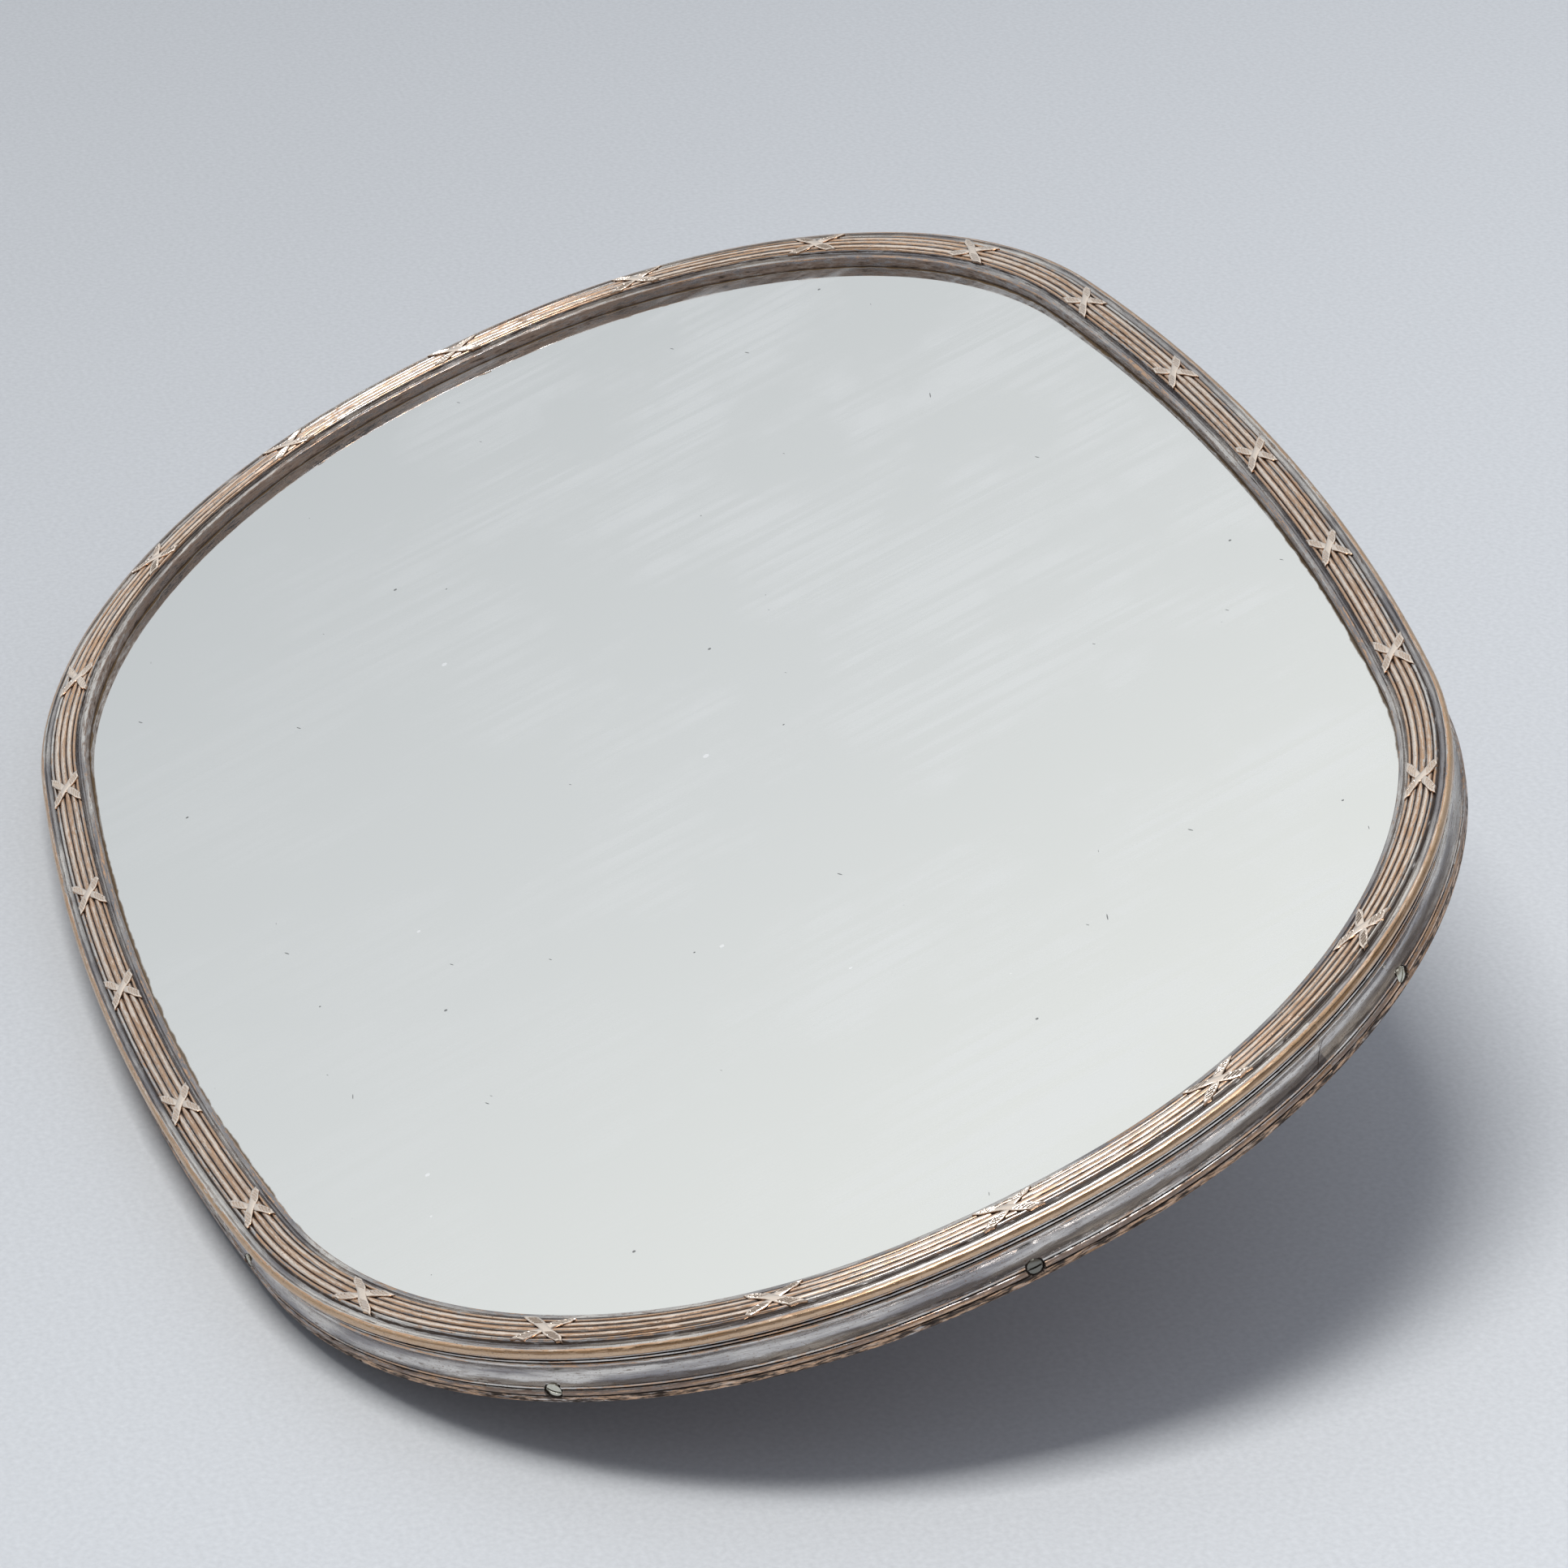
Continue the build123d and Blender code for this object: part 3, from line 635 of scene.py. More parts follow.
def wiped_and_specked_silvered_glass(tree):
    """Old silvered glass: a sharp reflection under faint smears, lost specks and scratches."""
    lean, spot = settings().outline.tilt, on_object(tree)

    def laid(along, up, turn=0.0, shift=0.0):
        """Places on the glass, measured in units that are along and up millimetres long."""
        scale = (along * MM, up * MM, up * MM)
        inputs = {"Rotation": (lean, 0.0, turn), "Scale": scale, "Location": (shift, 0.0, 0.0)}
        return add(tree, "Mapping", {"Vector": spot, **inputs}, vector_type="TEXTURE")

    def marks(along, up, turn, shift, chance, widest):
        """Small marks, at most one in each cell of the given size, and none in most cells."""
        apart = add(tree, "TexVoronoi", {"Vector": laid(along, up, turn, shift), "Scale": 1.0})
        draw = add(tree, "SeparateColor", {"Color": apart.node.outputs["Color"]})
        return reckon(tree, "LESS_THAN", apart, spread(tree, draw, 0.0, widest, 1 - chance))

    # wiping smears 85 mm long and 4 mm wide, left only in patches 60 mm across
    smears = noise_at(tree, laid(4, 85, 0.06), 1.0, 6.0, Roughness=0.62)
    clouds = noise_at(tree, laid(60, 60), 1.0, 4.0, Roughness=0.6)
    patchy = reckon(tree, "MULTIPLY", mask(tree, smears, 0.38, 0.62), mask(tree, clouds, 0.42, 0.6))
    clouded = mask(tree, plus(tree, clouds, (smears, 0.4)), 0.6, 1.1)
    # the raised half was wiped last
    upper = add(tree, "SeparateXYZ", {"Vector": spot}, "Y")
    wiped = spread(tree, mask(tree, upper, -0.1, 0.05), 0.3, 1.0)
    haze = reckon(tree, "MULTIPLY", plus(tree, patchy, (clouded, 0.25)), wiped)

    # dark specks up to 1 mm across, scratches up to 4 mm long and 0.4 mm wide at two angles,
    # and pale spots up to 1.7 mm across
    specks = marks(13, 13, 0.0, 0.0, 0.34, 0.04)
    scratches = marks(26, 2.4, 0.5, 0.3, 0.08, 0.08)
    dashes = marks(30, 2.6, -0.25, 0.7, 0.05, 0.07)
    spots = marks(17, 17, 0.0, 0.4, 0.2, 0.05)
    dark = reckon(tree, "MAXIMUM", reckon(tree, "MAXIMUM", scratches, dashes), specks)
    near_rim = spread(tree, carried(tree, "out"), 0.0, 1.0, -8.4 * MM, -6.3 * MM)
    foxed = mask(tree, plus(tree, near_rim, (noise_at(tree, laid(7, 7), 1.0, 5.0), 0.9)), 1.05, 1.3)
    darkened_parts = reckon(tree, "MAXIMUM", dark, foxed)

    tone = blend(tree, spots, settings().colours.glass, srgb("FFFFFF"))
    tone = blend(tree, reckon(tree, "MULTIPLY", dark, 0.8), tone, srgb("3F403E"))
    return {
        "Base Color": blend(tree, foxed, tone, srgb("6E5A42")),
        "Metallic": plus(tree, spread(tree, haze, 0.98, 0.76), (darkened_parts, -0.75), (spots, -0.3)),
        "Roughness": spread(tree, haze, 0.03, 0.12),
    }


def nickel_plated_steel_screw(tree):
    """Nickel-plated steel screws, turned and slotted, with dirt and painted shade in the slot."""
    spot = on_object(tree)
    # painted shade: the slot and the places shut in by the recess are drawn nearly black, along
    # with dirt
    crevice_shade_and_dirt = spread(tree, openness(tree, 0.5), 0.0, 1.0, 0.85, 0.4)
    worn = noise_at(tree, spot, 1500.0, 3.0)
    metal = blend(tree, worn, srgb("B4B2A6"), srgb("E6E6DA"))
    # painted reflection: the screw in the middle of the near end is drawn with a darker face
    darkened_parts = mask(tree, add(tree, "SeparateXYZ", {"Vector": spot}, "X"), 0.2535, 0.254)
    metal = blend(tree, darkened_parts, metal, srgb("7B7A74"))
    colour = blend(tree, crevice_shade_and_dirt, metal, srgb("1B1714"))
    dull = spread(tree, worn, 0.14, 0.34)
    return {"Base Color": colour, "Metallic": 1.0, "Roughness": dull}


def dull_rolled_brass(tree):
    """Rolled brass hinge and solder-joined keys, dulled brown by handling."""
    grain = noise_at(tree, on_object(tree, (30, 900, 900)), 1.0, 4.0)
    stained = spread(tree, noise_at(tree, on_object(tree), 180.0, 4.0), 0.0, 1.0, 0.4, 0.7)
    colour = blend(tree, stained, srgb("B8955A"), srgb("6E5533"))
    dull = spread(tree, grain, 0.28, 0.5)
    return {"Base Color": colour, "Metallic": 1.0, "Roughness": dull}


def stained_planed_beech(tree):
    """Planed beech under a brown stain: short flecks and long soft grain, a low sheen."""
    wood = settings().colours.wood
    grain = noise_at(tree, on_object(tree, (6, 160, 160)), 1.0, 6.0, Distortion=0.6)
    flecks = noise_at(tree, on_object(tree, (250, 1400, 1400)), 1.0)
    share = spread(tree, reckon(tree, "MULTIPLY", grain, flecks), 0.0, 1.0, 0.15, 0.4)
    colour = blend(tree, share, scaled(wood, 0.45), wood)
    relief = bump(tree, flecks, 0.3, 0.1)
    return {"Base Color": colour, "Roughness": 0.55, "Normal": relief}


def worn_milled_wool_baize(tree):
    """Milled wool baize: a matted nap with a faint sheen, rubbed paler in patches."""
    baize, spot = settings().colours.baize, on_object(tree)
    # the nap's fibres are under 0.1 mm, drawn as tufts of 0.5 mm so that they show
    nap = noise_at(tree, spot, 2100.0, 4.0, Roughness=0.7)
    rubbed = spread(tree, noise_at(tree, spot, 22.0, 4.0), 0.0, 1.0, 0.35, 0.7)
    cloth = blend(tree, rubbed, baize, scaled(baize, 1.7, 0.01))
    colour = blend(tree, 1.0, cloth, spread(tree, nap, 0.6, 1.0, 0.3, 0.7), "MULTIPLY")
    return {
        "Base Color": colour,
        "Roughness": 0.95,
        "Sheen Weight": 0.25,
        "Normal": bump(tree, nap, 0.6, 0.25),
    }


def scuffed_leather_strip(tree):
    """Vegetable-tanned leather strip: fine pebbled grain, scuffed matt."""
    leather, spot = settings().colours.leather, on_object(tree)
    pebbles = add(tree, "TexVoronoi", {"Vector": spot, "Scale": 1300.0})
    colour = blend(tree, noise_at(tree, spot, 130.0, 4.0), leather, scaled(leather, 2.2, 0.01))
    relief = bump(tree, pebbles, 0.4, 0.1)
    return {"Base Color": colour, "Roughness": 0.7, "Normal": relief}


def brown_rag_paper(tree):
    """Brown rag paper between the silvering and the board."""
    fibres = noise_at(tree, on_object(tree), 700.0, 5.0)
    colour = blend(tree, fibres, srgb("8F7552"), srgb("B89F78"))
    return {"Base Color": colour, "Roughness": 0.9}


def matt_studio_paper(tree):
    """Pale background paper, quite matt, with a faint mottle and painted light that makes it paler
    towards one side.
    """
    floor, spot = settings().colours.floor, on_object(tree)
    broad = blend(tree, noise_at(tree, spot, 2.2, 3.0), floor, scaled(floor, 0.95))
    # painted light: the paper is drawn a little paler towards one side, where more light falls on
    # it
    towards_painted_light = along_axis(tree, spot, (0.4, 0.92, 0.0))
    broad = blend(tree, mask(tree, towards_painted_light, -0.4, 0.5), broad, scaled(floor, 1.2))
    # the paper's fibres are too fine to show, so its mottle is drawn 1.5 mm wide
    mottle = spread(tree, noise_at(tree, spot, 650.0), 0.88, 1.12)
    colour = blend(tree, 1.0, broad, mottle, "MULTIPLY")
    return {"Base Color": colour, "Roughness": 0.75}


# ---------------------------------------------------------------- the moulding's section


def circle_centre(first, middle, last):
    """Centre of the circle through three points of the section."""
    ax, ay = middle[0] - first[0], middle[1] - first[1]
    bx, by = last[0] - first[0], last[1] - first[1]
    twice = 2 * (ax * by - ay * bx)
    along, up = ax * ax + ay * ay, bx * bx + by * by
    return (first[0] + (by * along - ay * up) / twice, first[1] + (ax * up - bx * along) / twice)


class Section:
    """A section being drawn: each point has its place and its coat of (wear, grime with painted
    shade, tarnish).
    """

    def __init__(self, start, coat):
        self.points = [(*start, *coat)]

    def lines(self, coat, *spots):
        """Straight stretches from point to point; the first one blends from the coat before."""
        self.points += [(*spot, *coat) for spot in spots]

    def arc(self, middle, end, steps, rim, crest):
        """A round stretch through a point, with one coat at its ends and another in its middle."""
        start = self.points[-1][:2]
        centre = circle_centre(start, middle, end)
        reach = math.hypot(start[0] - centre[0], start[1] - centre[1])
        begin, through, stop = (
            math.atan2(spot[1] - centre[1], spot[0] - centre[0]) for spot in (start, middle, end)
        )
        sweep = (stop - begin) % math.tau
        if (through - begin) % math.tau > sweep:
            sweep -= math.tau
        for step in range(1, steps + 1):
            share = step / steps
            swell = math.sin(math.pi * share)
            coat = [low + (high - low) * swell for low, high in zip(rim, crest)]
            now = begin + sweep * share
            spot = (centre[0] + reach * math.cos(now), centre[1] + reach * math.sin(now))
            self.points.append((*spot, *coat))


# coats: how far the plate is worn, how much dirt and painted shade lie there, how tarnished it is
INNER_WALL = (0.18, 0.46, 0.66)
LIP = (0.22, 0.10, 0.44)
LIP_EDGE = (0.34, 0.0, 0.60)
COVE = (0.08, 0.12, 0.44)
# the reeds' flanks carry more grime and tarnish than their crests: dirt, and painted shade that
# makes each reed darker at its sides
REED_FLANK = (0.28, 0.40, 0.54)
REED_GROOVE = (0.25, 0.75, 0.36)
NARROW_COVE = (-0.05, 0.18, 0.34)
BIG_BEAD = (0.72, 0.0, 0.12)
BEAD_UNDER = (0.36, 0.20, 0.42)
FILLET = (0.18, 0.62, 0.42)
THIN_BEAD = (0.34, 0.05, 0.25)
HOLLOW_RIM = (0.10, 0.32, 0.45)
HOLLOW = (-0.1, 0.10, 0.36)
BASE_BEAD = (0.44, 0.16, 0.66)
BASE_GROOVE = (0.10, 0.80, 0.40)
BASE = (0.46, 0.58, 0.55)
BACK = (0.20, 0.25, 0.50)
# the reeds' crests, inwards to outwards: the middle ones are rubbed most, the last one least; their
# wear also draws them pale, partly as a painted highlight
CRESTS = [(worn, 0.0, 0.28) for worn in (0.50, 0.74, 0.62, 0.72, 0.34)]


def on_crown(out, depth=0.0):
    """A point under the round back of the reeds."""
    crown = settings().moulding.crown
    turn = out / crown
    return ((crown - depth) * math.sin(turn), (crown - depth) * math.cos(turn) - crown)


def moulding_section():
    """The moulding's section: up the wall above the glass, over the reeds, back by the rebate."""
    m = settings().moulding
    band = 1.5 * m.reed + m.fine_reed
    section = Section((-m.lip_in, -settings().back.glass_top), INNER_WALL)
    draw_lip(section, -band - m.side_gap)
    draw_reeds(section, -band)
    draw_fillets(section, draw_bead(section, band))
    draw_hollow(section)
    draw_base(section)
    return with_distance(section.points)


def draw_lip(section, cove_end):
    """The wall above the glass, the lip with its rounded edge and the shallow cove."""
    m = settings().moulding
    cove_start, cove_low = m.lip_round + m.lip_width - m.lip_in, -m.lip_drop - m.cove
    section.lines(INNER_WALL, (-m.lip_in, -m.lip_drop - m.lip_round))
    quarter = m.lip_round * (1 - math.sqrt(0.5))
    edge_middle = (quarter - m.lip_in, -m.lip_drop - quarter)
    section.arc(edge_middle, (m.lip_round - m.lip_in, -m.lip_drop), 4, LIP, LIP_EDGE)
    section.lines(LIP, (cove_start, -m.lip_drop))
    cove_middle = ((cove_start + cove_end) / 2, (cove_low - m.lip_drop) / 2 - m.cove)
    section.arc(cove_middle, (cove_end, cove_low), 6, COVE, COVE)


def draw_reeds(section, edge):
    """The band of reeds, from its inner edge outwards."""
    m = settings().moulding
    section.lines(REED_GROOVE, on_crown(edge, m.groove))
    for width, crest in zip((m.fine_reed, m.reed, m.reed, m.reed, m.fine_reed), CRESTS):
        # a fine reed has fewer steps, and grooves 0.7 times as wide
        steps, flank = (8, m.groove_half) if width == m.reed else (6, m.groove_half * 0.7)
        flank_end = on_crown(edge + width - flank, m.flank)
        section.lines(REED_FLANK, on_crown(edge + flank, m.flank))
        section.arc(on_crown(edge + width / 2), flank_end, steps, REED_FLANK, crest)
        section.lines(REED_GROOVE, on_crown(edge + width, m.groove))
        edge += width


def draw_bead(section, band):
    """The narrow cove and the big bead; gives the height of the shelf under the bead."""
    m = settings().moulding
    cove_in, cove_low = band + m.side_gap, on_crown(band, m.groove)[1] - m.side_gap
    lead = math.radians(BEAD_LEAD)
    bead_in, bead_rise = m.bead_radius * math.cos(lead), m.bead_radius * math.sin(lead)
    start, shelf = (m.bead_out + bead_in, bead_rise - m.bead_drop), -m.bead_drop - bead_rise
    section.lines(REED_GROOVE, (cove_in, cove_low))
    cove_middle = ((cove_in + start[0]) / 2, (cove_low + start[1]) / 2 - m.narrow_cove)
    section.arc(cove_middle, start, 6, NARROW_COVE, NARROW_COVE)
    side = (m.bead_out + m.bead_radius, -m.bead_drop)
    section.arc(side, (m.bead_out - bead_in, shelf), 16, BEAD_UNDER, BIG_BEAD)
    return shelf


def draw_fillets(section, shelf):
    """Two small fillets under a shelf, and the thin bead."""
    m = settings().moulding
    ridge_low = shelf - 3 * m.fillet_height
    bead_top = ridge_low - m.fillet_height
    section.lines(FILLET, (m.fillet_out, shelf))
    section.lines(THIN_BEAD, (m.fillet_out, shelf - m.fillet_height))
    section.lines(REED_GROOVE, (m.fillet_in, shelf - 2 * m.fillet_height))
    section.lines(FILLET, (m.fillet_out, shelf - 2 * m.fillet_height))
    section.lines(THIN_BEAD, (m.fillet_out, ridge_low))
    section.lines(REED_GROOVE, (m.fillet_in, ridge_low), (m.fillet_in, bead_top))
    bead_side = (m.fillet_in + m.thin_bead, bead_top - m.thin_bead)
    section.arc(bead_side, (m.fillet_in, bead_top - 2 * m.thin_bead), 8, FILLET, THIN_BEAD)


def draw_hollow(section):
    """The wide hollow, the thin edge under it and the base bead between its grooves."""
    m = settings().moulding
    section.lines(HOLLOW_RIM, (m.fillet_in, -m.hollow_top))
    middle = (m.hollow_root, -(m.hollow_top + m.hollow_bottom) / 2)
    section.arc(middle, (m.edge_out - m.lip_round, -m.hollow_bottom), 22, HOLLOW_RIM, HOLLOW)
    edge_low = -m.hollow_bottom - m.edge_height
    groove_low = m.base_bead - m.base_bead_drop
    section.lines(THIN_BEAD, (m.edge_out, -m.hollow_bottom), (m.edge_out, edge_low))
    section.lines(BASE_GROOVE, (m.base_groove, edge_low), (m.base_groove, groove_low))
    section.lines(BASE_GROOVE, (m.base_bead_out, groove_low))
    bead_side = (m.base_bead_out + m.base_bead, -m.base_bead_drop)
    bead_end = (m.base_bead_out, -m.base_bead_drop - m.base_bead)
    section.arc(bead_side, bead_end, 12, BASE_GROOVE, BASE_BEAD)


def draw_base(section):
    """The rough bottom edge, the rebate and the channel for the joint keys."""
    m, seat = settings().moulding, -settings().back.glass_top
    upper, lower = -(m.base_top * 2 + m.depth) / 3, -(m.base_top + m.depth * 2) / 3
    section.lines(BASE, *((m.base_out, up) for up in (-m.base_top, upper, lower, -m.depth)))
    section.lines(BACK, (m.rebate, -m.depth), (m.rebate, seat))
    outer, inner = m.channel_shift + m.channel_half, m.channel_shift - m.channel_half
    top = m.channel_depth + seat
    section.lines(BACK, (outer, seat), (outer, top), (inner, top), (inner, seat))


def across_at(drop):
    """Distance along the section to the point of the outer side at a depth."""
    outer = [point for point in moulding_section() if point[0] > settings().moulding.rebate]
    return min(outer, key=lambda point: abs(point[1] + drop))[2]


def with_distance(points):
    """Adds each point's distance along the section, which is where its pattern is read."""
    run, before, listed = 0.0, points[0], []
    for out, up, *coat in points:
        run += math.hypot(out - before[0], up - before[1])
        before = (out, up)
        listed.append((out, up, run, *coat))
    return listed


def moulding_runs(first, last):
    """Stretches of moulding, finer beside the side screws."""
    m, ribbon = settings().moulding, settings().ribbon
    reach = ribbon.recess + FINE_MARGIN
    cuts = [first]
    for number in range(ribbon.count):
        screw = number * 2 * tie_pitch()
        if first < screw - reach and screw + reach < last:
            cuts += [screw - reach, screw + reach]
    cuts.append(last)
    # every second stretch is beside a screw
    return list(zip(cuts, cuts[1:], [m.step, m.fine_step] * len(cuts)))


def sink_screws(bm):
    """Cuts the spot faces that the side screws sit in."""
    ribbon, layers = settings().ribbon, bm.verts.layers.float
    pitch = 2 * tie_pitch()
    for vert in bm.verts:
        length, proud = vert[layers["along"]], vert[layers["out"]] - ribbon.recess_out
        offset = length - round(length / pitch) * pitch
        if proud < 0 or math.hypot(offset, vert.co.z + ribbon.screw_drop) > ribbon.recess:
            continue
        vert.co += place(length).to_3x3() @ Vector((0, 1, 0)) * proud
        # the spot face is drawn dark with full grime and no wear: dirt and painted shade in the
        # recess
        vert[layers["grime_and_shade"]] = 1.0
        vert[layers["wear"]] = 0.0


def roughen_base(bm):
    """The bottom edge was sawn and filed by hand, so it isn't smooth."""
    m = settings().moulding
    out = bm.verts.layers.float["out"]
    for vert in bm.verts:
        if abs(vert[out] - m.base_out) < WELD and vert.co.z > FILED_SKIN - m.depth:
            push = sum(noise.noise(vert.co * cells) * depth for cells, depth in FILE_MARKS)
            outwards = Vector((vert.co.x, vert.co.y, 0)).normalized()
            vert.co += outwards * min(0.0, push - FILED_SKIN)


def build_moulding(name, first, last, node_name):
    """One of the two lengths of bent moulding."""
    material = finish(worn_silver_plate_on_stamped_brass)
    bm = bend_section(moulding_section(), True, moulding_runs(first, last))
    bmesh.ops.holes_fill(bm, edges=[edge for edge in bm.edges if edge.is_boundary], sides=0)
    bmesh.ops.recalc_face_normals(bm, faces=bm.faces)
    sink_screws(bm)
    roughen_base(bm)
    bm.transform(mirror_matrix())
    finish_mesh(bm, name, material, "mirror", 32.0, node_name)


# ---------------------------------------------------------------- ribbons


def ease(value, low, high):
    """0 below low, 1 above high and smooth between."""
    share = min(1.0, max(0.0, (value - low) / (high - low)))
    return share * share * (3 - 2 * share)


def ribbon_arm(bm, lean, lift, taper):
    """One arm of a tie, bent over the reeds; its tails have a raised rim, pleats and a notch."""
    ribbon = settings().ribbon
    wear = bm.verts.layers.float["wear"]
    grid = bmesh.ops.create_grid(bm, x_segments=108, y_segments=14, size=1.0)["verts"]
    for vert in grid:
        # run goes from one end of the arm to the other and side from edge to edge, both -1 to 1
        run, side = vert.co.x, vert.co.y
        far = abs(run)
        half = (ribbon.waist + (ribbon.tail - ribbon.waist) * min(1.0, far * 1.25) ** 1.3) / 2
        half *= 1.0 - taper[run > 0] * ease(far, 0.5, 1.0)
        cut = ribbon.notch * (1 - abs(side)) * far**8
        out = math.copysign(ribbon.half_band * far - cut, run)
        along = lean * run * ribbon.spread + side * half

        slant = PLEAT_SLANT * side * lean * math.copysign(1.0, run)
        pleat = math.sin(math.tau * (far * PLEATS + slant))
        rim = max(ease(abs(side), *RIM_SIDE), ease(far, *RIM_END))
        sunk = ease(far, *TAIL_START) * (1 - rim)
        height = on_crown(out)[1] + ribbon.thickness * (0.75 + 0.35 * (1 - side**4))
        height += sunk * (PLEAT_HEIGHT * pleat - PLEAT_DEPTH)
        height += lift * math.exp(-((run / CROSSING) ** 2)) + CURL * far**6
        vert.co = Vector((along, -out, height))
        # the wear value is lower at the arm's edges and in the pleat hollows, which the ribbon's
        # material draws darker: wear and painted shade
        vert[wear] = 0.8 - 0.5 * ease(abs(side), 0.9, 1.0) - sunk * (0.14 - 0.2 * pleat)
    rim = [edge for edge in bm.edges if edge.is_boundary and edge.verts[0] in grid]
    skirt = bmesh.ops.extrude_edge_only(bm, edges=rim)["geom"]
    for vert in (part for part in skirt if isinstance(part, bmesh.types.BMVert)):
        vert.co.z = on_crown(vert.co.y)[1] - SKIRT_DEPTH
        vert[wear] = SKIRT_SHADE_WEAR
    edges = [part for part in skirt if isinstance(part, bmesh.types.BMEdge) and part.is_boundary]
    bmesh.ops.contextual_create(bm, geom=edges)


def build_tie(number, material):
    """A crossed ribbon tie: the second arm passes over the first."""
    ribbon = settings().ribbon
    bm = bmesh.new()
    bm.verts.layers.float.new("wear")
    draw = random.Random(number)
    for lean, lift in ((-1, -UNDER_ARM), (1, 0.0)):
        ribbon_arm(bm, lean, lift, (draw.uniform(0.2, 0.65), draw.uniform(0.2, 0.65)))
    bmesh.ops.recalc_face_normals(bm, faces=bm.faces)
    length = number * tie_pitch() + (ribbon.slip if number == ribbon.slipped else 0.0)
    skew = Matrix.Rotation(math.radians(draw.uniform(-3.5, 3.5)), 4, "Z")
    widen = Matrix.Diagonal((draw.uniform(0.94, 1.05), 1.0, 1.0, 1.0))
    bm.transform(mirror_matrix() @ place(length) @ skew @ widen)
    tag = f"{number + 1:02d}"
    node_name = f"ribbon_tie_{tag}"
    finish_mesh(bm, f"ribbon_{tag}", material, "mirror", 40.0, node_name)


# ---------------------------------------------------------------- glass and cloth


def build_glass():
    """The silvered plate, with its ground edge."""
    back = settings().back
    top, bottom = -back.glass_top, -back.glass_top - back.glass_thickness
    # the rings lie closer beside the lip, where the silver is foxed
    inner = -20 * MM
    rings = [inner, -12 * MM, -8 * MM, -7 * MM, -6 * MM, back.glass_edge - back.glass_bevel]
    wire = [(out, top) for out in rings]
    wire += [(back.glass_edge, top - back.glass_bevel), (back.glass_edge, bottom), (inner, bottom)]
    bm = bend_section(wire, False, [(0.0, outline_length(), GLASS_STEP)])
    rims = [edge for edge in bm.edges if edge.is_boundary]
    for height in (top, bottom):
        level = [edge for edge in rims if abs(edge.verts[0].co.z - height) < 0.1 * MM]
        bmesh.ops.contextual_create(bm, geom=level)
    bmesh.ops.recalc_face_normals(bm, faces=bm.faces)
    bm.transform(mirror_matrix())
    material = finish(wiped_and_specked_silvered_glass)
    finish_mesh(bm, "silvered_glass", material, "mirror", 20.0, "mirror_glass")


def build_cloth(node_name, name, body, flat):
    """A glued sheet of baize with soft edges, made from its CAD sheet."""
    baize = finish(worn_milled_wool_baize)
    piece = softened(node_name, name, baize, body, 0.25, segments=3)
    area = sum(face.area for face in piece.data.polygons) / 2
    area = min(area, 0.999 * flat[0] * flat[1])


# ---------------------------------------------------------------- operators


class MIRROR_OT_frame(bpy.types.Operator):
    """Make both lengths of the reeded moulding"""

    bl_idname = "table_mirror.frame"
    bl_label = "Moulding"

    def execute(self, context):
        first = settings().outline.joint * tie_pitch()
        second, third = first + outline_length() / 2, first + outline_length()
        build_moulding("moulding_raised_half", first, second, "frame_raised_half")
        build_moulding("moulding_resting_half", second, third, "frame_resting_half")
        return {"FINISHED"}


class MIRROR_OT_ribbons(bpy.types.Operator):
    """Make the crossed ribbon ties"""

    bl_idname = "table_mirror.ribbons"
    bl_label = "Ribbon ties"

    def execute(self, context):
        material = finish(rubbed_silver_plate_on_cast_ribbon)
        for number in range(settings().ribbon.count):
            build_tie(number, material)
        return {"FINISHED"}


class MIRROR_OT_screws(bpy.types.Operator):
    """Make the slotted screws in the side of the frame and in the hinge"""

    bl_idname = "table_mirror.screws"
    bl_label = "Screws"

    def execute(self, context):
        steel, brass = finish(nickel_plated_steel_screw), finish(dull_rolled_brass)
        softened("side_screws", "slotted_side_screws", steel, "mirror", 0.06)
        softened("board_leaf_screws", "board_hinge_screws", brass, "mirror", 0.04)
        softened("strut_leaf_screws", "strut_hinge_screws", brass, "strut", 0.04)
        return {"FINISHED"}


class MIRROR_OT_glass(bpy.types.Operator):
    """Make the silvered glass"""

    bl_idname = "table_mirror.glass"
    bl_label = "Glass"

    def execute(self, context):
        build_glass()
        return {"FINISHED"}


class MIRROR_OT_back(bpy.types.Operator):
    """Make the board, its cloth and what is hidden inside the frame"""

    bl_idname = "table_mirror.back"
    bl_label = "Back"

    def execute(self, context):
        wood, brass = finish(stained_planed_beech), finish(dull_rolled_brass)
        softened("back_board", "beech_back_board", wood, "mirror", 0.3)
        build_cloth("back_cloth", "baize_back", "mirror", (0.502, 0.326))
        for node_name, material in (
            ("glass_packing", finish(brown_rag_paper)),
            ("edge_packers", wood),
            ("joint_key_near", brass),
            ("joint_key_far", brass),
        ):
            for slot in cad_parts[node_name].material_slots:
                slot.material = material
        return {"FINISHED"}


class MIRROR_OT_strut(bpy.types.Operator):
    """Make the easel strut, its hinge and its foot"""

    bl_idname = "table_mirror.strut"
    bl_label = "Strut and hinge"

    def execute(self, context):
        brass, wood = finish(dull_rolled_brass), finish(stained_planed_beech)
        steel, leather = finish(nickel_plated_steel_screw), finish(scuffed_leather_strip)
        softened("hinge_board_leaf", "hinge_leaf_on_board", brass, "mirror", 0.12)
        softened("hinge_strut_leaf", "hinge_leaf_on_strut", brass, "strut", 0.12)
        softened("hinge_pin", "hinge_pin_steel", steel, "mirror", 0.15)
        softened("strut", "beech_strut", wood, "strut", 0.3)
        build_cloth("strut_cloth", "baize_strut_cover", "strut", (0.117, 0.063))
        softened("strut_foot_pad", "leather_foot", leather, "strut", 0.25)
        return {"FINISHED"}


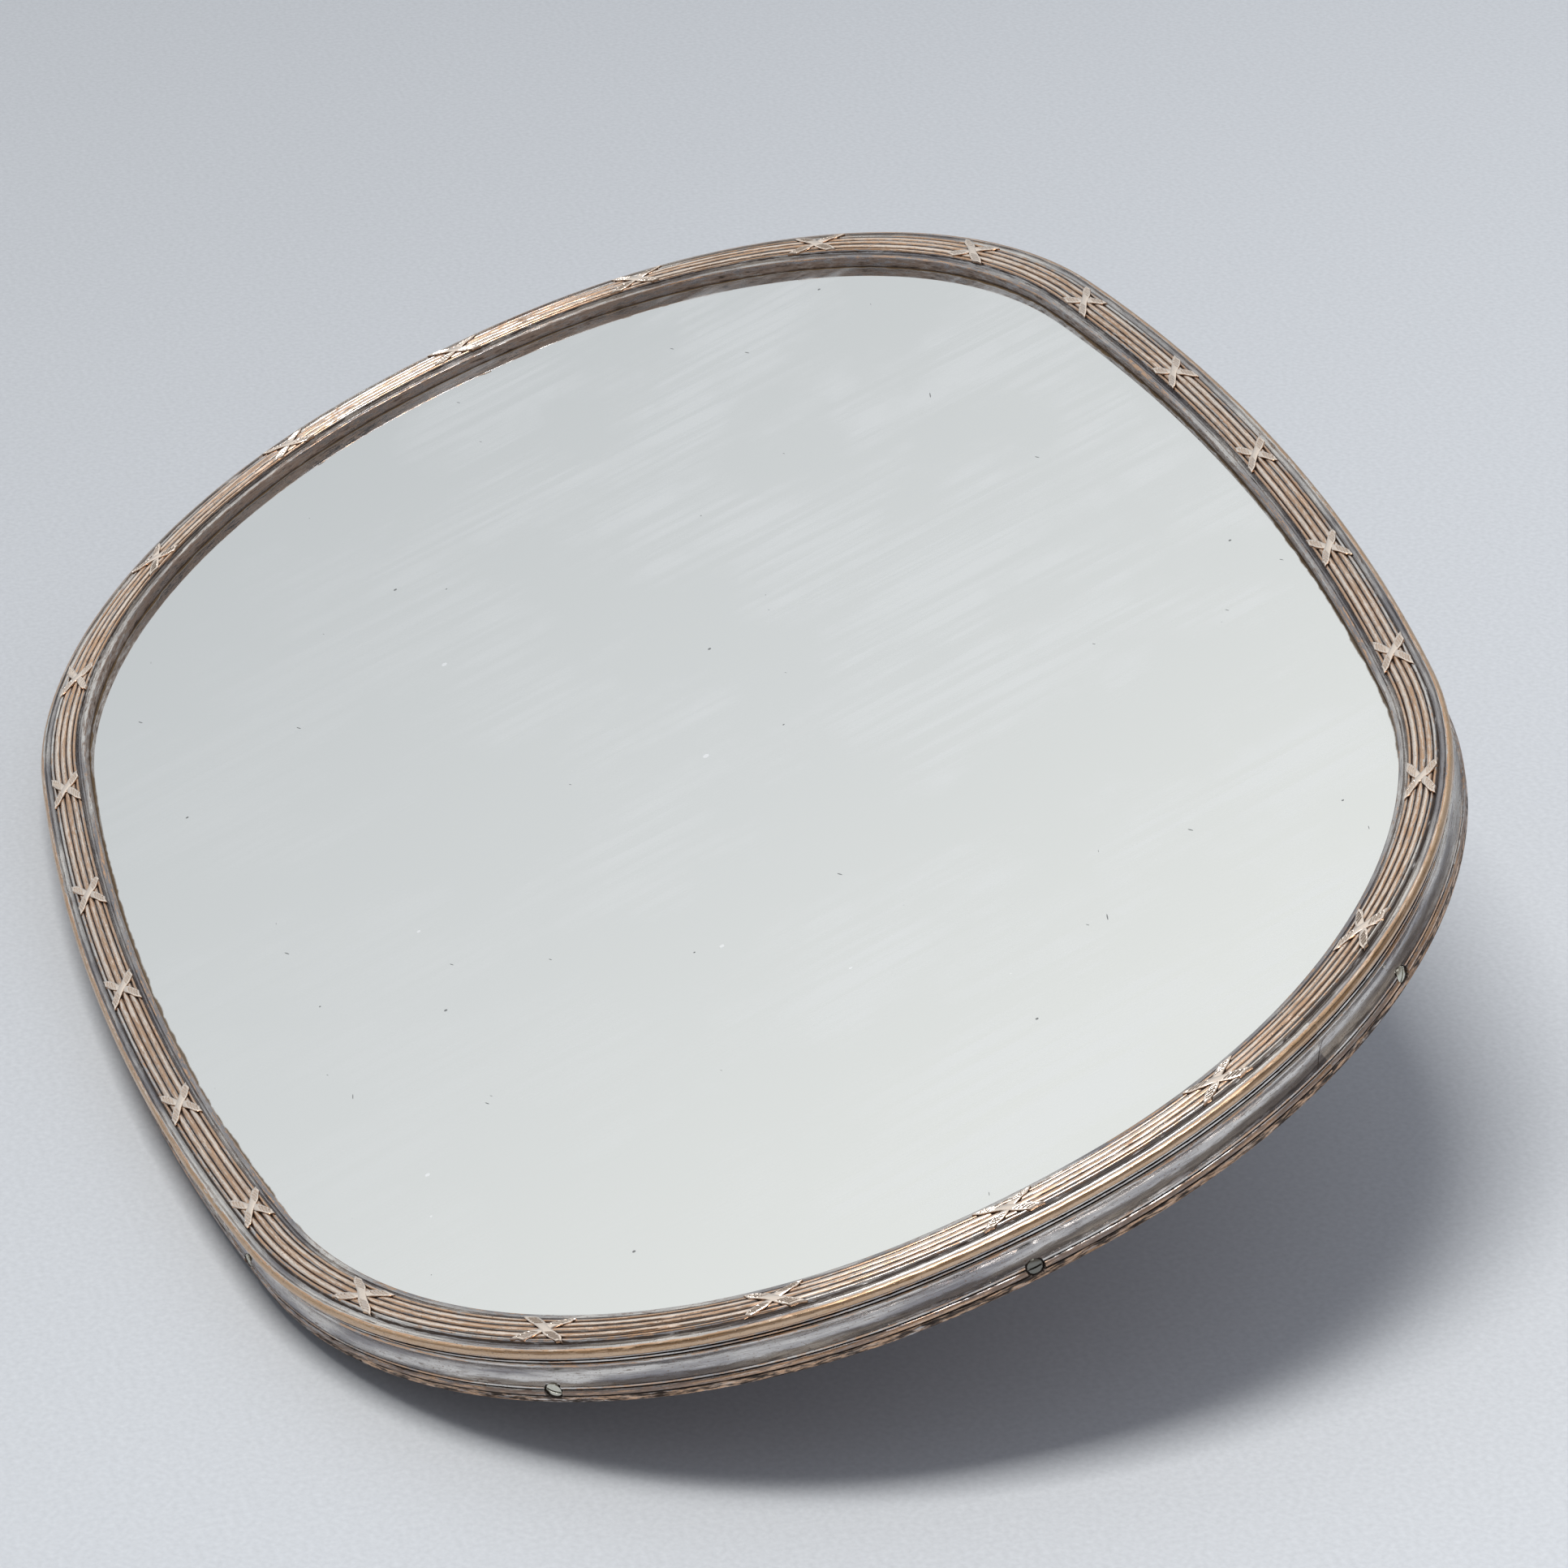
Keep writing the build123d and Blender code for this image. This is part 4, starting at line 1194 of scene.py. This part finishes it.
class MIRROR_OT_stage(bpy.types.Operator):
    """Make the floor, the light and the camera"""

    bl_idname = "table_mirror.stage"
    bl_label = "Stage"

    def execute(self, context):
        build_floor()
        build_light()
        build_world()
        build_camera()
        context.scene.view_settings.view_transform = "Standard"
        return {"FINISHED"}


# ---------------------------------------------------------------- stage


def build_floor():
    """A pale matt floor that reaches past the view."""
    bm = bmesh.new()
    bmesh.ops.create_grid(bm, x_segments=1, y_segments=1, size=6.0)
    mesh = bpy.data.meshes.new("studio_floor")
    bm.to_mesh(mesh)
    bm.free()
    mesh.materials.append(finish(matt_studio_paper))
    floor = bpy.data.objects.new("studio_floor", mesh)
    bpy.context.scene.collection.objects.link(floor)


def build_light():
    """One soft box nearly overhead, wider than it is long."""
    lamp = bpy.data.lights.new("soft_box", "AREA")
    lamp.shape = "RECTANGLE"
    lamp.size, lamp.size_y = 0.85, 1.35
    lamp.energy = 65.0
    soft_box = bpy.data.objects.new("soft_box", lamp)
    soft_box.location = (0.74, -0.62, 3.0)
    soft_box.rotation_euler = (math.radians(14.0), math.radians(-4.0), 0.0)
    bpy.context.scene.collection.objects.link(soft_box)


# the two sides of the room, from the floor to overhead
PALE_SIDE = {
    0.0: "BDC1C5",
    0.3: "C4C8CB",
    0.45: "CBCFD2",
    0.53: "DEE1E2",
    0.59: "EEF0EE",
    0.72: "F6F6F4",
    0.97: "F2F2F0",
}
DIM_SIDE = {
    0.0: "A7A4A1",
    0.12: "8D8883",
    0.32: "8E8882",
    0.45: "ADA59C",
    0.55: "A39B92",
    0.64: "514B47",
    0.78: "4E4945",
    0.92: "C9C8C6",
}


def build_world():
    """A pale room in front of the mirror and a dim one behind the camera; its light is plain."""
    world = bpy.data.worlds.new("pale_room")
    bpy.context.scene.world = world
    world.use_nodes = True
    tree = world.node_tree
    tree.nodes.clear()
    way = add(tree, "TexCoord", output="Generated")
    sides = add(tree, "SeparateXYZ", {"Vector": way}).node.outputs
    rays = add(tree, "LightPath").node.outputs
    lifted = along_axis(tree, way, (0.0, -0.13, 1.0))
    turned = {0: mask(tree, sides["X"], -0.45, -0.05), 1: rays["Is Camera Ray"]}
    dim_share = add(tree, "Math", turned, operation="SUBTRACT", use_clamp=True)
    around = blend(tree, dim_share, ramp(tree, lifted, PALE_SIDE), ramp(tree, lifted, DIM_SIDE))
    seen = reckon(tree, "MAXIMUM", rays["Is Camera Ray"], rays["Is Glossy Ray"])
    seen = reckon(tree, "MAXIMUM", seen, rays["Is Transmission Ray"])
    strength = spread(tree, sides["Y"], 0.26, 0.62, -1.0, 1.0)
    plain = add(tree, "Background", {"Color": (*srgb("DDE4F2"), 1.0), "Strength": strength})
    shown = add(tree, "Background", {"Color": around, "Strength": 1.0})
    mixed = add(tree, "MixShader", {0: seen, 1: plain, 2: shown})
    add(tree, "OutputWorld", {"Surface": mixed})


def build_camera():
    """A long lens from beyond the near end, above the resting side."""
    half = settings().outline.half_length
    lens = bpy.data.cameras.new("camera")
    lens.sensor_width = 36.0
    lens.lens = 146.9
    lens.clip_start = 0.1
    lens.clip_end = 20.0
    camera = bpy.data.objects.new("camera", lens)
    # along the mirror, up its slope and out of the glass
    camera.location = mirror_matrix() @ Vector((5.645 * half, -0.486 * half, 3.377 * half))
    camera.rotation_euler = (math.radians(90 - CAMERA_DIP), 0.0, math.radians(CAMERA_TURN))
    bpy.context.scene.collection.objects.link(camera)
    bpy.context.scene.camera = camera


OPERATORS = (
    MIRROR_OT_stage,
    MIRROR_OT_frame,
    MIRROR_OT_ribbons,
    MIRROR_OT_screws,
    MIRROR_OT_glass,
    MIRROR_OT_back,
    MIRROR_OT_strut,
)


class MIRROR_PT_panel(bpy.types.Panel):
    """The table mirror's pieces and sizes"""

    bl_idname = "MIRROR_PT_panel"
    bl_label = "Table mirror"
    bl_space_type = "VIEW_3D"
    bl_region_type = "UI"
    bl_category = "Table mirror"

    def draw(self, context):
        for operator in OPERATORS:
            self.layout.operator(operator.bl_idname)
        for group in ("outline", "moulding", "ribbon", "back", "colours"):
            box = self.layout.box()
            held = getattr(context.scene.table_mirror, group)
            for name in held.bl_rna.properties.keys():
                if name not in ("rna_type", "name"):
                    box.prop(held, name)


CLASSES = (
    MirrorOutline,
    MouldingShape,
    RibbonShape,
    GlassAndBack,
    MirrorColours,
    TableMirror,
    *OPERATORS,
    MIRROR_PT_panel,
)


def register():
    """Adds the classes and the scene's settings."""
    for made in CLASSES:
        bpy.utils.register_class(made)
    bpy.types.Scene.table_mirror = bpy.props.PointerProperty(
        type=TableMirror, name="Table mirror", description="Settings of the table mirror"
    )


def unregister():
    """Takes the settings and the classes away again."""
    del bpy.types.Scene.table_mirror
    for made in reversed(CLASSES):
        bpy.utils.unregister_class(made)


def main():
    register()
    for operator in OPERATORS:
        group, action = operator.bl_idname.split(".")
        getattr(getattr(bpy.ops, group), action)()


if __name__ == "__main__":
    main()
